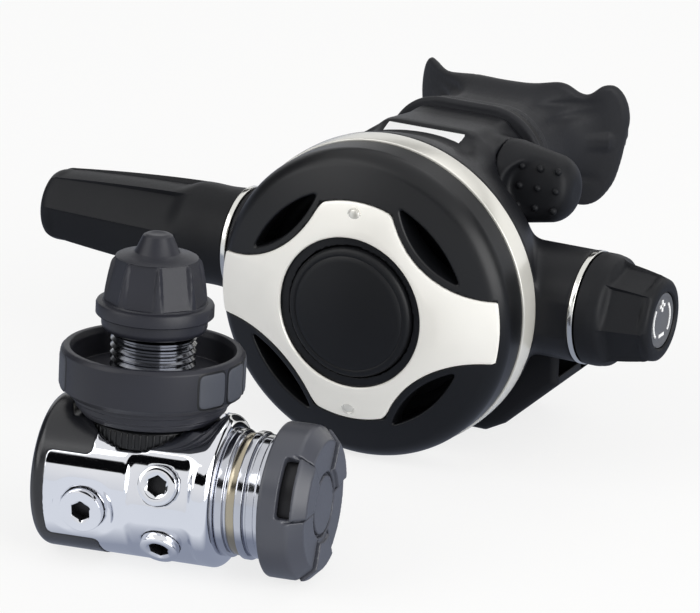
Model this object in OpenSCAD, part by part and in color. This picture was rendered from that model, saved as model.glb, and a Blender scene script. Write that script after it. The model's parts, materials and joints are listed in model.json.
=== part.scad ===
// Scuba regulator set: a round second stage and a DIN first stage, in millimetres, +Z up.
// The second stage's cross tube lies along X and its cover faces -Y.
// The first stage stands in front of it, to the left.
// The origin is the bottom centre of the whole set.

/* [Cover] */
// Outer diameter of the polished ring round the cover
ring_d = 91; // [84:0.5:100]
// Width of the polished ring along the cover's axis
ring_w = 7.5; // [5:0.1:9]
// Radial thickness of the polished ring
ring_t = 3.4; // [2.5:0.1:4.5]
// Distance from the cross tube's axis to the back of the polished ring
ring_back = 15.2; // [14:0.1:20]
// Distance from the cross tube's axis to the crown of the cover's dome
dome_front = 43; // [41:0.5:50]
// Radius of the sphere that the cover's dome follows
dome_r = 118; // [95:1:160]
// Wall of the black cover
cover_t = 2.4; // [1.8:0.1:3]
// Thickness of the steel plate
plate_t = 0.8; // [0.5:0.1:1.2]
// Radius that the two side arms of the plate reach
side_arm_r = 43.2; // [40:0.1:43.6]
// Radius that the top and bottom arms of the plate reach
top_arm_r = 31.8; // [29:0.1:34]
// Radius of the arcs cut between the plate's arms
arm_cut_r = 32.2; // [30:0.1:34]
// Distance of those arcs' centres from the cover's axis, along X and along Z
arm_cut_at = 41.25; // [40:0.05:43]
// Outer radius of the four lens-shaped windows
window_r = 34.3; // [32:0.1:36]
// Width of the black lip between the plate and each window
window_lip = 2.2; // [1.5:0.1:3.5]
// Distance of each plate screw from the cover's axis
screw_at = 28.3; // [26:0.1:28.6]

/* [Purge button] */
// Diameter of the purge button
purge_d = 37.8; // [30:0.1:39]
// Width of the black groove between the button and the plate
purge_groove = 2.9; // [1.5:0.1:3.5]
// Travel of the purge button
purge_travel = 4; // [2:0.5:5]

/* [Second stage case] */
// Wall of the case
case_t = 2.4; // [2:0.1:3]
// Distance from the cross tube's axis to the back wall of the case
case_back = 21; // [19:0.5:26]
// Radius of the cross tube
tube_r = 16; // [14:0.1:17]
// How far the cross tube stands out past the ring on the hose side
hose_stub = 7.3; // [4.5:0.1:14.5]
// How far the cross tube stands out past the ring on the knob side
knob_stub = 9.7; // [4.5:0.1:14.5]
// Width of the silver ring at each end of the cross tube
trim_w = 1.6; // [1:0.1:3]
// Distance of the mouthpiece neck's axis below the top of the ring
neck_drop = 19.5; // [15.5:0.5:21.5]
// Half the height of the mouthpiece neck
neck_r = 16; // [14:0.5:18]
// Half the straight width of the neck's oval
neck_half = 8; // [6:0.5:10]
// Distance from the cross tube's axis to the end of the neck
neck_back = 30; // [28:0.5:36]
// Radius of the exhaust port
port_r = 10.5; // [8:0.5:11]
// Depth of the exhaust port's axis below the cover's axis
port_z = 12.5; // [11.5:0.5:14]
// Width of the exhaust tee across its two outlets
tee_w = 88; // [80:1:104]

/* [Knob and sleeve] */
// Number of lobes on the knob and on the hose sleeve
lobes = 7; // [5:1:9]
// Length of the knob
knob_len = 20.6; // [17:0.1:32]
// Radius of the knob's outer end
knob_end_r = 12.6; // [11:0.1:14]
// Travel of the adjusting spindle
spindle_travel = 2; // [1:0.5:3]
// Turns of the knob over that travel
knob_turns = 2; // [1:0.5:3]
// Length of the hose sleeve
sleeve_len = 63.7; // [45:0.1:80]
// Radius of the sleeve's wide end
sleeve_r = 15; // [13.5:0.1:16]
// Radius of the sleeve's narrow end
sleeve_end_r = 10.7; // [9.6:0.1:13]
// Bore of the sleeve for the hose
hose_d = 14; // [11:0.1:15]
// Outer diameter of the inlet's male thread, 9/16 inch
inlet_thread_d = 14.28; // [12:0.01:16]

/* [Lever] */
// Distance of the lever's axis behind the cross tube's axis
lever_y = 16; // [15:0.5:20]
// Distance of the lever's axis below the top of the ring
lever_drop = 18.5; // [16.5:0.5:20.5]
// Radius of the lever's round body
lever_r = 12; // [10:0.1:13]
// Distance of the seam between case and lever from the cover's axis
lever_seam = 20.2; // [19:0.1:28]
// Length of the lever's body
lever_len = 22; // [19:0.5:28]

/* [Mouthpiece] */
// Half the width of the flange
flange_half = 33.6; // [30:0.1:40]
// Half the height of the flange
flange_r = 16.5; // [14:0.5:19]
// Distance from the neck's end to the front of the flange
flange_at = 27; // [22:0.5:32]
// Radius of the flange's curve round the teeth
flange_bend = 50; // [42:1:70]
// Thickness of the flange
flange_t = 2.6; // [2:0.1:3.5]
// Reach of the bite tabs behind the flange's middle
tab_reach = 30; // [24:0.5:34]

/* [First stage body] */
// Outer diameter of the chrome body
body_d = 41.6; // [40:0.1:48]
// Distance from the DIN axis to the closed end, cover included
body_left = 26.5; // [26:0.5:38]
// Distance from the DIN axis to the flange's face
body_right = 24; // [22:0.5:28]
// Distance from the flange's face to the black end cap
neck_len = 13.2; // [12:0.1:18]
// Width of the black end cap
cap_w = 12.8; // [10:0.1:16]
// Thickness of the rubber end cover
end_cover_t = 1.2; // [0.8:0.1:2]
// Radius of the low-pressure port plugs
low_plug_r = 5.3; // [5.2:0.1:6.5]
// Radius of the high-pressure port plugs
high_plug_r = 6; // [5.9:0.1:7]
// Height of the plugs' faces above the body's round surface
plug_proud = 1.1; // [0.8:0.1:3]
// Angle of the upper low-pressure ports from the DIN axis
low_upper = 75; // [73:1:80]
// Angle of the lower low-pressure ports from the DIN axis
low_lower = 128; // [124:1:134]
// Angle of the high-pressure ports from the DIN axis
high_angle = 102; // [96:1:108]

/* [DIN connection] */
// Outer diameter of the G5/8 thread
din_d = 22.9; // [20:0.1:24]
// Pitch of the G5/8 thread
din_pitch = 1.814; // [1.5:0.001:2]
// Height of the thread's end above the body's top
din_height = 27.7; // [26:0.1:31]
// Outer diameter of the handwheel
wheel_d = 49.6; // [46:0.1:56]
// Height of the handwheel's rim above the body's top
rim_height = 16; // [15:0.1:19]
// Height of the handwheel's grip above the body's top
grip_height = 3.4; // [2.4:0.1:6]
// Number of grip pads round the handwheel
wheel_pads = 11; // [8:1:13]
// Height of the protector cap's open end above the body's top
shield_height = 20.7; // [19.5:0.1:22]
// Height of the protector cap's tip above the body's top
tip_height = 47; // [45:0.1:53]

/* [Layout] */
// Distance of the DIN axis to the left of the cover's axis
first_x = 16.5; // [0:0.5:40]
// Distance of the DIN axis in front of the cross tube's axis
first_y = 124.3; // [110:0.1:150]
// Turn of the first stage about the vertical
first_yaw = 9.4; // [0:0.1:20]
// Backward lean of the DIN connection
first_lean = 4; // [0:0.1:6]

/* [Hidden] */
$fn = 64;
snug = 0.05;   // radial gap between pieces that are assembled and don't move
run = 0.08;    // radial gap of a running fit
gap = 0.3;     // gap between pieces that move freely past each other

ring_r = ring_d / 2;
tube_left = ring_r + hose_stub;
tube_right = ring_r + knob_stub;
neck_z = ring_r - neck_drop;
lever_z = ring_r - lever_drop;
spigot_r = ring_r - ring_t - snug;
cover_r = ring_r - 0.6;
ring_front = ring_back + ring_w;
plate_hole_r = purge_d / 2 + purge_groove;
barrel_r = 8.5;
barrel_bore = 5.5;
barrel_left = tube_left - 4;
barrel_right = tube_right - 4;
inlet_x = tube_left + trim_w;
knob_x = tube_right + trim_w + gap;
body_r = body_d / 2;
din_r = din_d / 2;
wheel_r = wheel_d / 2;
stud_r = 7;
crown_x = 2.5;
chamber_r = 10;
diaphragm_x = body_right - 8;
cap_x = body_right + neck_len;
low_x = body_right - 14.4;
high_x = body_right - 35.2;
base_top = body_r - 3.2;
base_bottom = body_r - 8.4;
swivel_floor = body_r - 2.4;
cup_floor = body_r + 8.7;
din_top = body_r + din_height;
wheel_top = body_r + rim_height;
wheel_bottom = body_r + grip_height;
shield_bottom = body_r + shield_height;
shield_top = body_r + tip_height;
plug_face = body_r + plug_proud;
spot_face = plug_face - 2.3;
flange_y = neck_back + flange_at;

// Inside the cover, along Y.
edge_r = 4;
screw_r = 1.9;
slip_t = 1.1;
rim_t = 2.1;
disc_t = 1.2;
disc_r = 13.6;
post_r = 3;
spigot_y = -ring_front + slip_t + rim_t + 2 * snug;
seal_r = spigot_r - 3.8;
guide_r = purge_d / 2 + gap;
shelf_r = guide_r - 6.7;
floor_y = -dome_front + dome_r - sqrt(dome_r * dome_r - plate_hole_r * plate_hole_r) + 1.4;
shelf_y = floor_y + purge_travel + 2.4;
button_y = floor_y - 0.6;
disc_y = -ring_front + 0.35;

// Valve in the cross tube, along X.
pivot_x = 8;
pivot_y = -10.6;
pin_r = 0.8;
lever_arm = 22;
tip_y = disc_y + disc_t + 1.2;
poppet_x = -30;
spring_x = 14;
spindle_x = 32;
hex_r = 3;
foot_w = 6;
disc_end_r = 8;
knob_turn = 68;
sleeve_turn = 53;
inlet_len = 9.5;

// Neck, lever and tee.
hood_z = neck_z + neck_r - 0.4;
hood_fall = 3.9;
label_y = 3.6;
label_t = 0.4;
nozzle_r = neck_r - 3.5;
airway_r = neck_r - 5.5;
spigot_len = 9.5;
clamp_y = neck_back + 3;
clamp_w = 3.6;
shaft_r = 3;
pad_tilt = -12;
dot_pitch = 5;
tee_front = 4;
tee_back = case_back + 15;

// First stage, along the body and along the DIN axis.
boss_r = 16.2;
neck_bore = 11.8;
neck_r1 = 17.2;
low_thread_r = 4.76;
high_thread_r = 5.56;
poppet_r = 2.1;
insert_r0 = 16.2;
insert_r1 = 18.2;
filter_r = 3.2;
end_wall = 2.5;
pad_w = 8.8;
skirt_r = din_r + 2.15;

// Bottom centre of the set, in the second stage's own frame.
left_end = -(inlet_x + gap + sleeve_len);
right_end = knob_x + knob_len;
set_front = -(first_y + body_r * cos(first_yaw) + body_left * sin(first_yaw));
set_back = flange_y + tab_reach;
mid_x = (left_end + right_end) / 2;
mid_y = (set_front + set_back) / 2;

// ---- places ----

module second_place() translate([-mid_x, -mid_y, ring_r]) children();
module first_place()
    translate([-mid_x - first_x, -mid_y - first_y, body_r])
        rotate([0, 0, first_yaw]) rotate([-first_lean, 0, 0]) children();

// ---- helpers ----

// Points of an arc in a plane, from angle a to angle b.
function arc(x, y, r, a, b, n = 6)
    = [for (i = [0:n]) [x + r * cos(a + (b - a) * i / n), y + r * sin(a + (b - a) * i / n)]];

// Solid of revolution about the Y axis, from points [radius, y].
module turn_y(points) rotate([-90, 0, 0]) rotate_extrude() polygon(points);

// Solid of revolution about the X axis, from points [radius, x].
module turn_x(points) rotate([0, 90, 0]) rotate_extrude() polygon(points);

// Flat outline in X and Z, pulled along Y from y0 to y1.
module pull_y(y0, y1) translate([0, y1, 0]) rotate([90, 0, 0]) linear_extrude(y1 - y0) children();

// Flat outline in Y and Z, pulled along X from x0 to x1.
module pull_x(x0, x1) translate([x0, 0, 0]) rotate([90, 0, 90]) linear_extrude(x1 - x0) children();

module bar_x(x0, x1, r) translate([x0, 0, 0]) rotate([0, 90, 0]) cylinder(r = r, h = x1 - x0);

module pipe_x(x0, x1, r, bore) difference() {
    bar_x(x0, x1, r);
    bar_x(x0 - 1, x1 + 1, bore);
}

module pipe_z(z0, z1, r, bore) difference() {
    translate([0, 0, z0]) cylinder(r = r, h = z1 - z0);
    translate([0, 0, z0 - 1]) cylinder(r = bore, h = z1 - z0 + 2);
}

// Oval with round ends, in a plane.
module oval(r, half) {
    square([2 * half, 2 * r], center = true);
    for (side = [-1, 1]) translate([side * half, 0]) circle(r);
}

// Points of one ring of a coil spring: the wire's section at turn t.
function wire_ring(t, turns, length, r, wire, sides) =
    let (a = 360 * t, z = wire + (length - 2 * wire) * t / turns)
    [for (k = [0:sides - 1]) let (b = 360 * k / sides)
        [(r + wire * cos(b)) * cos(a), (r + wire * cos(b)) * sin(a), z + wire * sin(b)]];

// Coil spring along Z from 0 to length: 8 rings to a turn, 6 sides.
module coil(length, r, wire, turns, sides = 6) {
    rings = turns * 8;
    points = [for (i = [0:rings]) each wire_ring(i / 8, turns, length, r, wire, sides)];
    tube = [for (i = [0:rings - 1], k = [0:sides - 1])
        let (a = i * sides + k, b = i * sides + (k + 1) % sides)
        each [[a, a + sides, b], [b, a + sides, b + sides]]];
    low = [for (k = [1:sides - 2]) [0, k, k + 1]];
    top = [for (k = [1:sides - 2]) [rings * sides, rings * sides + k + 1, rings * sides + k]];
    echo(str("coil gap ", (length - 2 * wire) / turns - 2 * wire));
    polyhedron(points, concat(tube, low, top));
}

// V-shaped groove along X from x0, deepest there and running out at x1.
module wedge_groove(x0, x1, r0, r1, depth)
    translate([x0, 0, r0 - depth]) rotate([0, atan2(r0 - depth - r1, x1 - x0), 0])
        rotate([45, 0, 0]) cube([x1 - x0, 12, 12]);

// Hexagonal socket along Z, open upward.
module hex_socket(r, depth) translate([0, 0, -depth]) cylinder(r = r, h = depth + 1, $fn = 6);

// ---- cover ----

// Height of the dome at radius r, along Y.
function dome_y(r, drop = 0) = -dome_front + dome_r - sqrt(dome_r * dome_r - r * r) + drop;
function dome(r0, r1, drop = 0, n = 8)
    = [for (i = [0:n]) let (r = r0 + (r1 - r0) * i / n) [r, dome_y(r, drop)]];

module plate_outline(grow = 0) difference() {
    union() {
        circle(top_arm_r + grow);
        intersection() {
            circle(side_arm_r + grow);
            square([2 * ring_r, 26], center = true);
        }
    }
    for (x = [-1, 1], z = [-1, 1]) translate([x, z] * arm_cut_at) circle(arm_cut_r - grow);
}

module window_outline(x, z) intersection() {
    circle(window_r);
    translate([x, z] * arm_cut_at) circle(arm_cut_r - window_lip);
}

module screw_places() for (z = [-1, 1]) translate([0, z * screw_at]) children();

module cover_ring() color("silver") second_place() turn_y([
    [spigot_r + snug, -ring_front], [ring_r - 0.6, -ring_front], [ring_r, -ring_front + 0.6],
    [ring_r, -ring_back - 0.6], [ring_r - 0.6, -ring_back], [spigot_r + snug, -ring_back]
]);

module front_cover() color("#1b1c1f") second_place() difference() {
    turn_y(concat(
        [[guide_r, floor_y], [plate_hole_r - snug, floor_y]],
        dome(plate_hole_r, cover_r - edge_r, 0.1),
        arc(cover_r - edge_r, dome_y(cover_r - edge_r) + edge_r + 0.1, edge_r, -75, 0),
        [[cover_r, -ring_front - snug], [cover_r - 3.4, -ring_front - snug],
         [cover_r - 3.4, dome_y(cover_r - edge_r) + edge_r]],
        dome(cover_r - 5, guide_r + cover_t, cover_t),
        [[guide_r + cover_t, shelf_y + 1.4], [shelf_r, shelf_y + 1.4], [shelf_r, shelf_y],
            [guide_r, shelf_y]]
    ));
    intersection() {
        pull_y(-dome_front - 1, -ring_front) plate_outline(0.1);
        turn_y(concat([[0, -dome_front - 2], [ring_r, -dome_front - 2]], dome(ring_r, 0, plate_t + snug)));
    }
    for (x = [-1, 1], z = [-1, 1]) pull_y(-dome_front - 1, -ring_front - 6) window_outline(x, z);
    pull_y(-dome_front - 1, -ring_front) screw_places() circle(screw_r + snug);
}

module cover_plate() color("gainsboro") second_place() difference() {
    intersection() {
        turn_y(concat(dome(plate_hole_r, side_arm_r), dome(side_arm_r, plate_hole_r, plate_t)));
        pull_y(-dome_front - 1, -ring_front) plate_outline();
    }
    pull_y(-dome_front - 1, -ring_front) screw_places() circle(screw_r + snug);
}

module plate_screws() color("lightgray") second_place() difference() {
    pull_y(dome_y(screw_at) + 0.2, dome_y(screw_at) + 2.8) screw_places() circle(screw_r);
    pull_y(dome_y(screw_at), dome_y(screw_at) + 1) screw_places() circle(0.9, $fn = 6);
}

module purge_button() color("#17181a") second_place() turn_y(concat(
    dome(0, purge_d / 2 - 1.5, 0.4, 4),
    arc(purge_d / 2 - 1.5, dome_y(purge_d / 2 - 1.5) + 1.9, 1.5, -80, 0),
    [[purge_d / 2, floor_y + 1.6], [purge_d / 2 - 1.6, floor_y + 1.6], [purge_d / 2 - 1.6, button_y],
     [post_r, button_y], [post_r, disc_y - gap], [0, disc_y - gap]]
));

module purge_spring() color("silver") second_place() translate([0, button_y + 0.1, 0]) rotate([-90, 0, 0])
    coil(shelf_y - button_y - 0.2, (guide_r + shelf_r) / 2 - 0.6, 0.45, 4);

module slip_ring() color("#3a3b3d") second_place() turn_y([
    [seal_r, -ring_front + snug], [spigot_r - 0.1, -ring_front + snug],
    [spigot_r - 0.1, -ring_front + slip_t], [seal_r, -ring_front + slip_t]
]);

// Silicone disc with a thick rim and one rolled fold.
module diaphragm() {
    fold_r = seal_r - 5;
    y = disc_y + disc_t + 0.1;
    color("#26282b") second_place() turn_y(concat(
        [[0, y]], arc(fold_r, y, 2.2, 180, 360), [[seal_r, -ring_front + slip_t + snug]],
        [[spigot_r - 0.1, -ring_front + slip_t + snug], [spigot_r - 0.1, spigot_y - snug],
            [seal_r, spigot_y - snug]],
        arc(fold_r, y + 0.7, 1.5, 360, 180), [[0, y + 0.7]]
    ));
}

module diaphragm_disc() color("#d8d8d8") second_place() turn_y([
    [0, disc_y], [disc_r, disc_y], [disc_r, disc_y + disc_t], [0, disc_y + disc_t]
]);

// ---- second stage case ----

// Radius of the case's bell at y.
function bell_r(y) = let (s = y + ring_back - 1) ring_r - 0.3 - 0.2 * s - 0.009 * s * s;
function bell(y0, y1, inset = 0, n = 8)
    = [for (i = [0:n]) let (y = y0 + (y1 - y0) * i / n) [bell_r(y) - inset, y]];

module bell_solid(grow = 0) turn_y(concat(
    [[0, spigot_y], [spigot_r, spigot_y], [spigot_r, -ring_back + snug],
        [ring_r - 0.3 + grow, -ring_back + snug]],
    bell(-ring_back + 1, case_back + grow, -grow), [[0, case_back + grow]]
));

module bell_space() turn_y(concat(
    [[0, spigot_y - 1], [seal_r, spigot_y - 1]],
    [for (p = bell(-ring_back + 1, case_back - case_t, case_t * 1.15)) [min(seal_r, p[0]), p[1]]],
    [[0, case_back - case_t]]
));

module neck_oval(r, half = neck_half) translate([0, neck_z]) oval(r, half);

// The hood over the neck, with the sloped face that carries the label.
module hood() pull_x(-14, 14) polygon([
    [-4, neck_z], [-4, hood_z - hood_fall], [6, hood_z], [neck_back - 4, hood_z],
        [neck_back - 1, hood_z - 1.3], [neck_back - 1, neck_z]
]);

module at_lever() translate([0, lever_y, lever_z]) children();

module case() color("#1c1d20") second_place() difference() {
    union() {
        bell_solid();
        difference() {
            union() {
                bar_x(-tube_left, 0, sleeve_r + 0.5);
                bar_x(0, tube_right, tube_r);
            }
            turn_y([[spigot_r - 1, -ring_front], [ring_r + 1, -ring_front], [ring_r + 1, -ring_back + snug],
                [spigot_r - 1, -ring_back + snug]]);
        }
        difference() {
            pull_y(-10, neck_back) neck_oval(neck_r);
            pull_x(-40, 40) polygon([[-11, hood_z - 7.6], [6, hood_z - 1], [6, hood_z + 9],
                [-11, hood_z + 9]]);
        }
        hood();
        at_lever() bar_x(0, lever_seam, lever_r);
        pull_y(neck_back - 1, neck_back + spigot_len) neck_oval(nozzle_r);
    }
    difference() {
        union() {
            bell_space();
            pull_y(2, neck_back - 2) neck_oval(neck_r - case_t);
        }
        at_lever() bar_x(lever_seam - case_t, lever_seam + lever_len, lever_r + gap + case_t);
    }
    pull_y(neck_back - 3, neck_back + spigot_len + 1) neck_oval(airway_r);
    bar_x(-tube_left - 1, tube_right + 1, barrel_r + snug);
    at_lever() bar_x(lever_seam, lever_seam + lever_len + 9, lever_r + gap);
    at_lever() bar_x(0, lever_seam + 1, shaft_r + run);
    pull_y(case_back - case_t - 1, case_back + 1) difference() {
        translate([0, -port_z]) circle(port_r);
        translate([0, -port_z]) difference() {
            union() {
                square([2 * port_r + 2, 1.8], center = true);
                square([1.8, 2 * port_r + 2], center = true);
                circle(3.2);
            }
            circle(1.6);
        }
    }
}

module exhaust_valve() color("#3b3d42") second_place() translate([0, 0, -port_z]) turn_y([
    [0, case_back + 1.4], [4, case_back + 1.2], [port_r + 1.4, case_back + 0.7],
        [port_r + 1.5, case_back + 0.1],
    [1.5, case_back + 0.1], [1.5, case_back - case_t - 0.1], [2.4, case_back - case_t - 0.3],
    [1.2, case_back - case_t - 2.4], [0, case_back - case_t - 2.4]
]);

// Outline of the tee in X and Z; inset leaves a wall, and reach lets the two outlets run open.
module tee_outline(inset = 0, reach = 0) {
    x = tee_w / 2 + reach;
    polygon([
        [x, -15 - inset], [27, -9 - inset], [17 - inset, 4 - inset], [-17 + inset, 4 - inset],
            [-27, -9 - inset],
        [-x, -15 - inset], [-x, -27.6 + inset * 1.4], [-28 + inset / 2, -ring_r + 3.2 + inset * 1.2],
            [-22, -ring_r + inset],
        [22, -ring_r + inset], [28 - inset / 2, -ring_r + 3.2 + inset * 1.2], [x, -27.6 + inset * 1.4]
    ]);
}

module exhaust_tee() color("#191a1c") second_place() difference() {
    pull_y(tee_front, tee_back) tee_outline();
    pull_y(tee_front + 2, tee_back - 2) tee_outline(2);
    pull_y(case_back + gap, tee_back - 2) tee_outline(2, 4);
    bell_solid(gap);
    bar_x(-tube_left, tube_right, tube_r + gap);
}

module label_plate() color("white") second_place()
    translate([0, label_y, hood_z - (6 - label_y) * hood_fall / 10]) rotate([atan2(hood_fall, 10), 0, 0])
        translate([0, 0, label_t / 2 + snug]) cube([24, 4.2, label_t], center = true);

// ---- mouthpiece ----

// Right half of the flange's wavy outline from the top middle to the bottom middle, as shares of its
// half width and half height.
flange_edge = [
    [0, 0.909], [0.24, 0.933], [0.42, 1.042], [0.54, 1.03], [0.66, 0.885], [0.74, 0.873], [0.84, 1.024],
        [0.92, 0.994], [0.98, 0.752], [1, 0.394], [0.98, 0], [0.95, -0.424], [0.9, -0.818],
            [0.8, -1.115], [0.68, -1.188], [0.54, -1.091], [0.3, -0.982], [0, -0.958]
];
function flange_side(side, points)
    = [for (p = points) [side * flange_half * p[0], neck_z + flange_r * p[1]]];
module flange_outline() polygon(concat(
    flange_side(1, flange_edge),
    flange_side(-1, [for (i = [len(flange_edge) - 2:-1:1]) flange_edge[i]])
));

module teeth_curve(r, z0, z1) translate([0, flange_y + flange_bend, z0])
    cylinder(r = r, h = z1 - z0, $fn = 128);

module mouthpiece() color("#2a2b2e") second_place() difference() {
    union() {
        difference() {
            union() {
                pull_y(neck_back + gap, neck_back + 10) neck_oval(neck_r - 1);
                pull_y(neck_back + 9, flange_y + 12) neck_oval(airway_r + 2.6);
            }
            teeth_curve(flange_bend - flange_t, 0, 60);
        }
        intersection() {
            pull_y(flange_y - 1, set_back) flange_outline();
            difference() {
                teeth_curve(flange_bend, 0, 60);
                teeth_curve(flange_bend - flange_t, -1, 61);
            }
        }
        for (side = [-1, 1]) translate([0, 0, neck_z - 2.2]) linear_extrude(4.4)
            polygon(concat(
                [[side * 19, flange_y + 3]],
                [for (p = arc(24, set_back - 4.5, 4.5, 170, 20)) [side * p[0], p[1]]],
                [[side * 31, flange_y + 20], [side * 30, flange_y + 9]]
            ));
        for (side = [-1, 1]) translate([side * 28, set_back - 9, neck_z - 5]) cylinder(r = 1.8, h = 10);
    }
    pull_y(neck_back, neck_back + spigot_len + 0.3) neck_oval(nozzle_r + snug);
    pull_y(neck_back + spigot_len, flange_y + 14) neck_oval(airway_r);
    pull_y(clamp_y, clamp_y + clamp_w) difference() {
        neck_oval(neck_r + 2);
        neck_oval(neck_r - 1.8);
    }
}

module mouthpiece_clamp() color("#111214") second_place() {
    pull_y(clamp_y + 0.2, clamp_y + clamp_w - 0.2) difference() {
        union() {
            neck_oval(neck_r - 0.6);
            translate([0, neck_z - neck_r - 0.6]) square([7, 3], center = true);
        }
        neck_oval(neck_r - 1.8 + snug);
    }
}

// ---- valve in the cross tube ----

module valve_barrel() color("#b9a26a") second_place() difference() {
    union() {
        bar_x(-barrel_left, barrel_right, barrel_r);
        for (z = [-1, 1]) translate([pivot_x - 2.5, pivot_y - 2, z * 4.6 - 1])
            cube([5, -pivot_y - barrel_r + 4, 2]);
    }
    bar_x(-barrel_left - 1, barrel_right + 1, barrel_bore);
    translate([pivot_x, pivot_y, -8]) cylinder(r = pin_r + snug, h = 16);
    translate([pivot_x - 2.5, -barrel_r - 1, -foot_w / 2 - gap]) cube([9, barrel_r - 3, foot_w + 2 * gap]);
    translate([poppet_x - 6, 0, 0]) rotate([-90, 0, 0]) cylinder(r = 3.4, h = 20);
}

module lever_pin() color("silver") second_place() translate([pivot_x, pivot_y, -5.6])
    cylinder(r = pin_r, h = 11.2);

module orifice() color("#c8b070") second_place() turn_x([
    [2.6, -barrel_left + 1], [barrel_bore - snug, -barrel_left + 1], [barrel_bore - snug, poppet_x - 3],
    [3.4, poppet_x - 0.1], [2.6, poppet_x - 0.1]
]);

module poppet() color("#e8e4d8") second_place() turn_x([
    [0, poppet_x], [4.6, poppet_x], [4.6, poppet_x + 4.5], [2.2, poppet_x + 4.5], [2.2, spring_x - 2],
    [barrel_bore - 0.4, spring_x - 2], [barrel_bore - 0.4, spring_x], [0, spring_x]
]);

module poppet_spring() color("silver") second_place() translate([spring_x + 0.1, 0, 0]) rotate([0, 90, 0])
    coil(spindle_x - spring_x - 0.2, 3.7, 0.5, 8);

module adjust_spindle() color("#b9a26a") second_place() turn_x([
    [0, spindle_x], [barrel_bore - run, spindle_x], [barrel_bore - run, spindle_x + 8],
        [barrel_bore - 1.1, spindle_x + 8],
    [barrel_bore - 1.1, spindle_x + 9.4], [barrel_bore - run, spindle_x + 9.4],
        [barrel_bore - run, spindle_x + 12],
    [hex_r + gap, spindle_x + 12], [hex_r + gap, spindle_x + 3], [0, spindle_x + 3]
]);

module spindle_o_ring() color("#141414") second_place() translate([spindle_x + 8.7, 0, 0])
    rotate([0, 90, 0])
    rotate_extrude() translate([barrel_bore - 0.6, 0]) circle(r = 0.48, $fn = 24);

// The arm reaches behind the diaphragm; the foot pushes the poppet's shoulder through a slot in the barrel.
module demand_lever() color("silver") second_place() translate([pivot_x, pivot_y, -foot_w / 2])
    difference() {
    union() {
        cylinder(r = 1.6, h = foot_w);
        linear_extrude(foot_w) polygon([
            [-1, 0], [spring_x - 2 - gap - 1.2 - pivot_x, -2.9 - pivot_y],
                [spring_x - 2 - gap - pivot_x, -2.9 - pivot_y],
            [spring_x - 2 - gap - pivot_x, -4.2 - pivot_y], [1.4, 0]
        ]);
        linear_extrude(foot_w) polygon([
            [0, -1.6], [-lever_arm + 3, tip_y - pivot_y], [-lever_arm - 1, tip_y - pivot_y],
            [-lever_arm - 1, tip_y - pivot_y + 1], [-lever_arm + 3.4, tip_y - pivot_y + 1], [-1, 0.6]
        ]);
    }
    translate([0, 0, -1]) cylinder(r = pin_r + run, h = 8);
}

// ---- knob side ----

module knob_ring() color("silver") second_place()
    pipe_x(tube_right + snug, knob_x - gap, tube_r + 0.2, barrel_r + snug);

module adjust_knob() color("#1f2023") second_place() {
    x0 = knob_x;
    x1 = right_end;
    fillet = 3;
    difference() {
        turn_x(concat(
            [[0, barrel_right + 0.1], [barrel_r - snug, barrel_right + 0.1], [barrel_r - snug, x0],
                [tube_r, x0],
             [tube_r, x0 + 4.5], [tube_r - 0.8, x0 + 7], [tube_r - 1.6, x0 + 9]],
            arc(knob_end_r - fillet, x1 - fillet, fillet, 10, 90),
            [[disc_end_r + snug, x1], [disc_end_r + snug, x1 - 2], [0, x1 - 2]]
        ));
        for (k = [0:lobes - 1]) rotate([knob_turn + (k + 0.5) * 360 / lobes, 0, 0])
            wedge_groove(x0 + 6.5, x1 - 1.5, tube_r - 0.9, knob_end_r + 0.5, 1.5);
    }
    bar_x(spindle_x + 6, barrel_right + 0.2, hex_r, $fn = 6);
}

module knob_disc() color("gray") second_place() turn_x([
    [0, right_end - 1.9], [disc_end_r, right_end - 1.9], [disc_end_r, right_end - 0.9],
        [disc_end_r - 0.8, right_end - 0.5],
    [0, right_end - 0.5]
]);

// ---- hose side ----

module inlet_ring() color("silver") second_place()
    pipe_x(-inlet_x, -tube_left - snug, sleeve_r + 0.4, barrel_r + snug);

module inlet_fitting() color("silver") second_place() difference() {
    union() {
        bar_x(-inlet_x - 0.1, -barrel_left - 0.1, barrel_r);
        bar_x(-inlet_x - 3, -inlet_x - snug, barrel_r + 1.1);
        bar_x(-inlet_x - 3 - inlet_len, -inlet_x - 2, inlet_thread_d / 2);
    }
    bar_x(-inlet_x - 4 - inlet_len, -barrel_left, 4.4);
}

module hose_sleeve() color("#1f2023") second_place() {
    x0 = -inlet_x - gap;
    fillet = 3.4;
    taper_end = 0.9;
    nut_r = inlet_thread_d / 2 + 3.4;
    difference() {
        turn_x(concat(
            [[barrel_r + 1.2, x0]],
            [for (i = [0:9]) let (t = taper_end * i / 9)
                [sleeve_r - (sleeve_r - sleeve_end_r) * pow(t, 1.8), x0 - sleeve_len * t]],
            arc(sleeve_end_r - fillet + 0.3, x0 - sleeve_len + fillet, fillet, -10, -90),
            [[hose_d / 2, x0 - sleeve_len], [hose_d / 2, x0 - 24], [nut_r, x0 - 22], [nut_r, x0 - 2.6],
                [barrel_r + 1.2, x0 - 2.6]]
        ));
        mirror([1, 0, 0]) for (k = [0:lobes - 1]) rotate([sleeve_turn + (k + 0.5) * 360 / lobes, 0, 0])
            wedge_groove(-x0 + 14, -x0 + sleeve_len - 8, sleeve_r - 0.2, sleeve_end_r + 0.8, 1.8);
    }
}

// ---- lever ----

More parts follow.
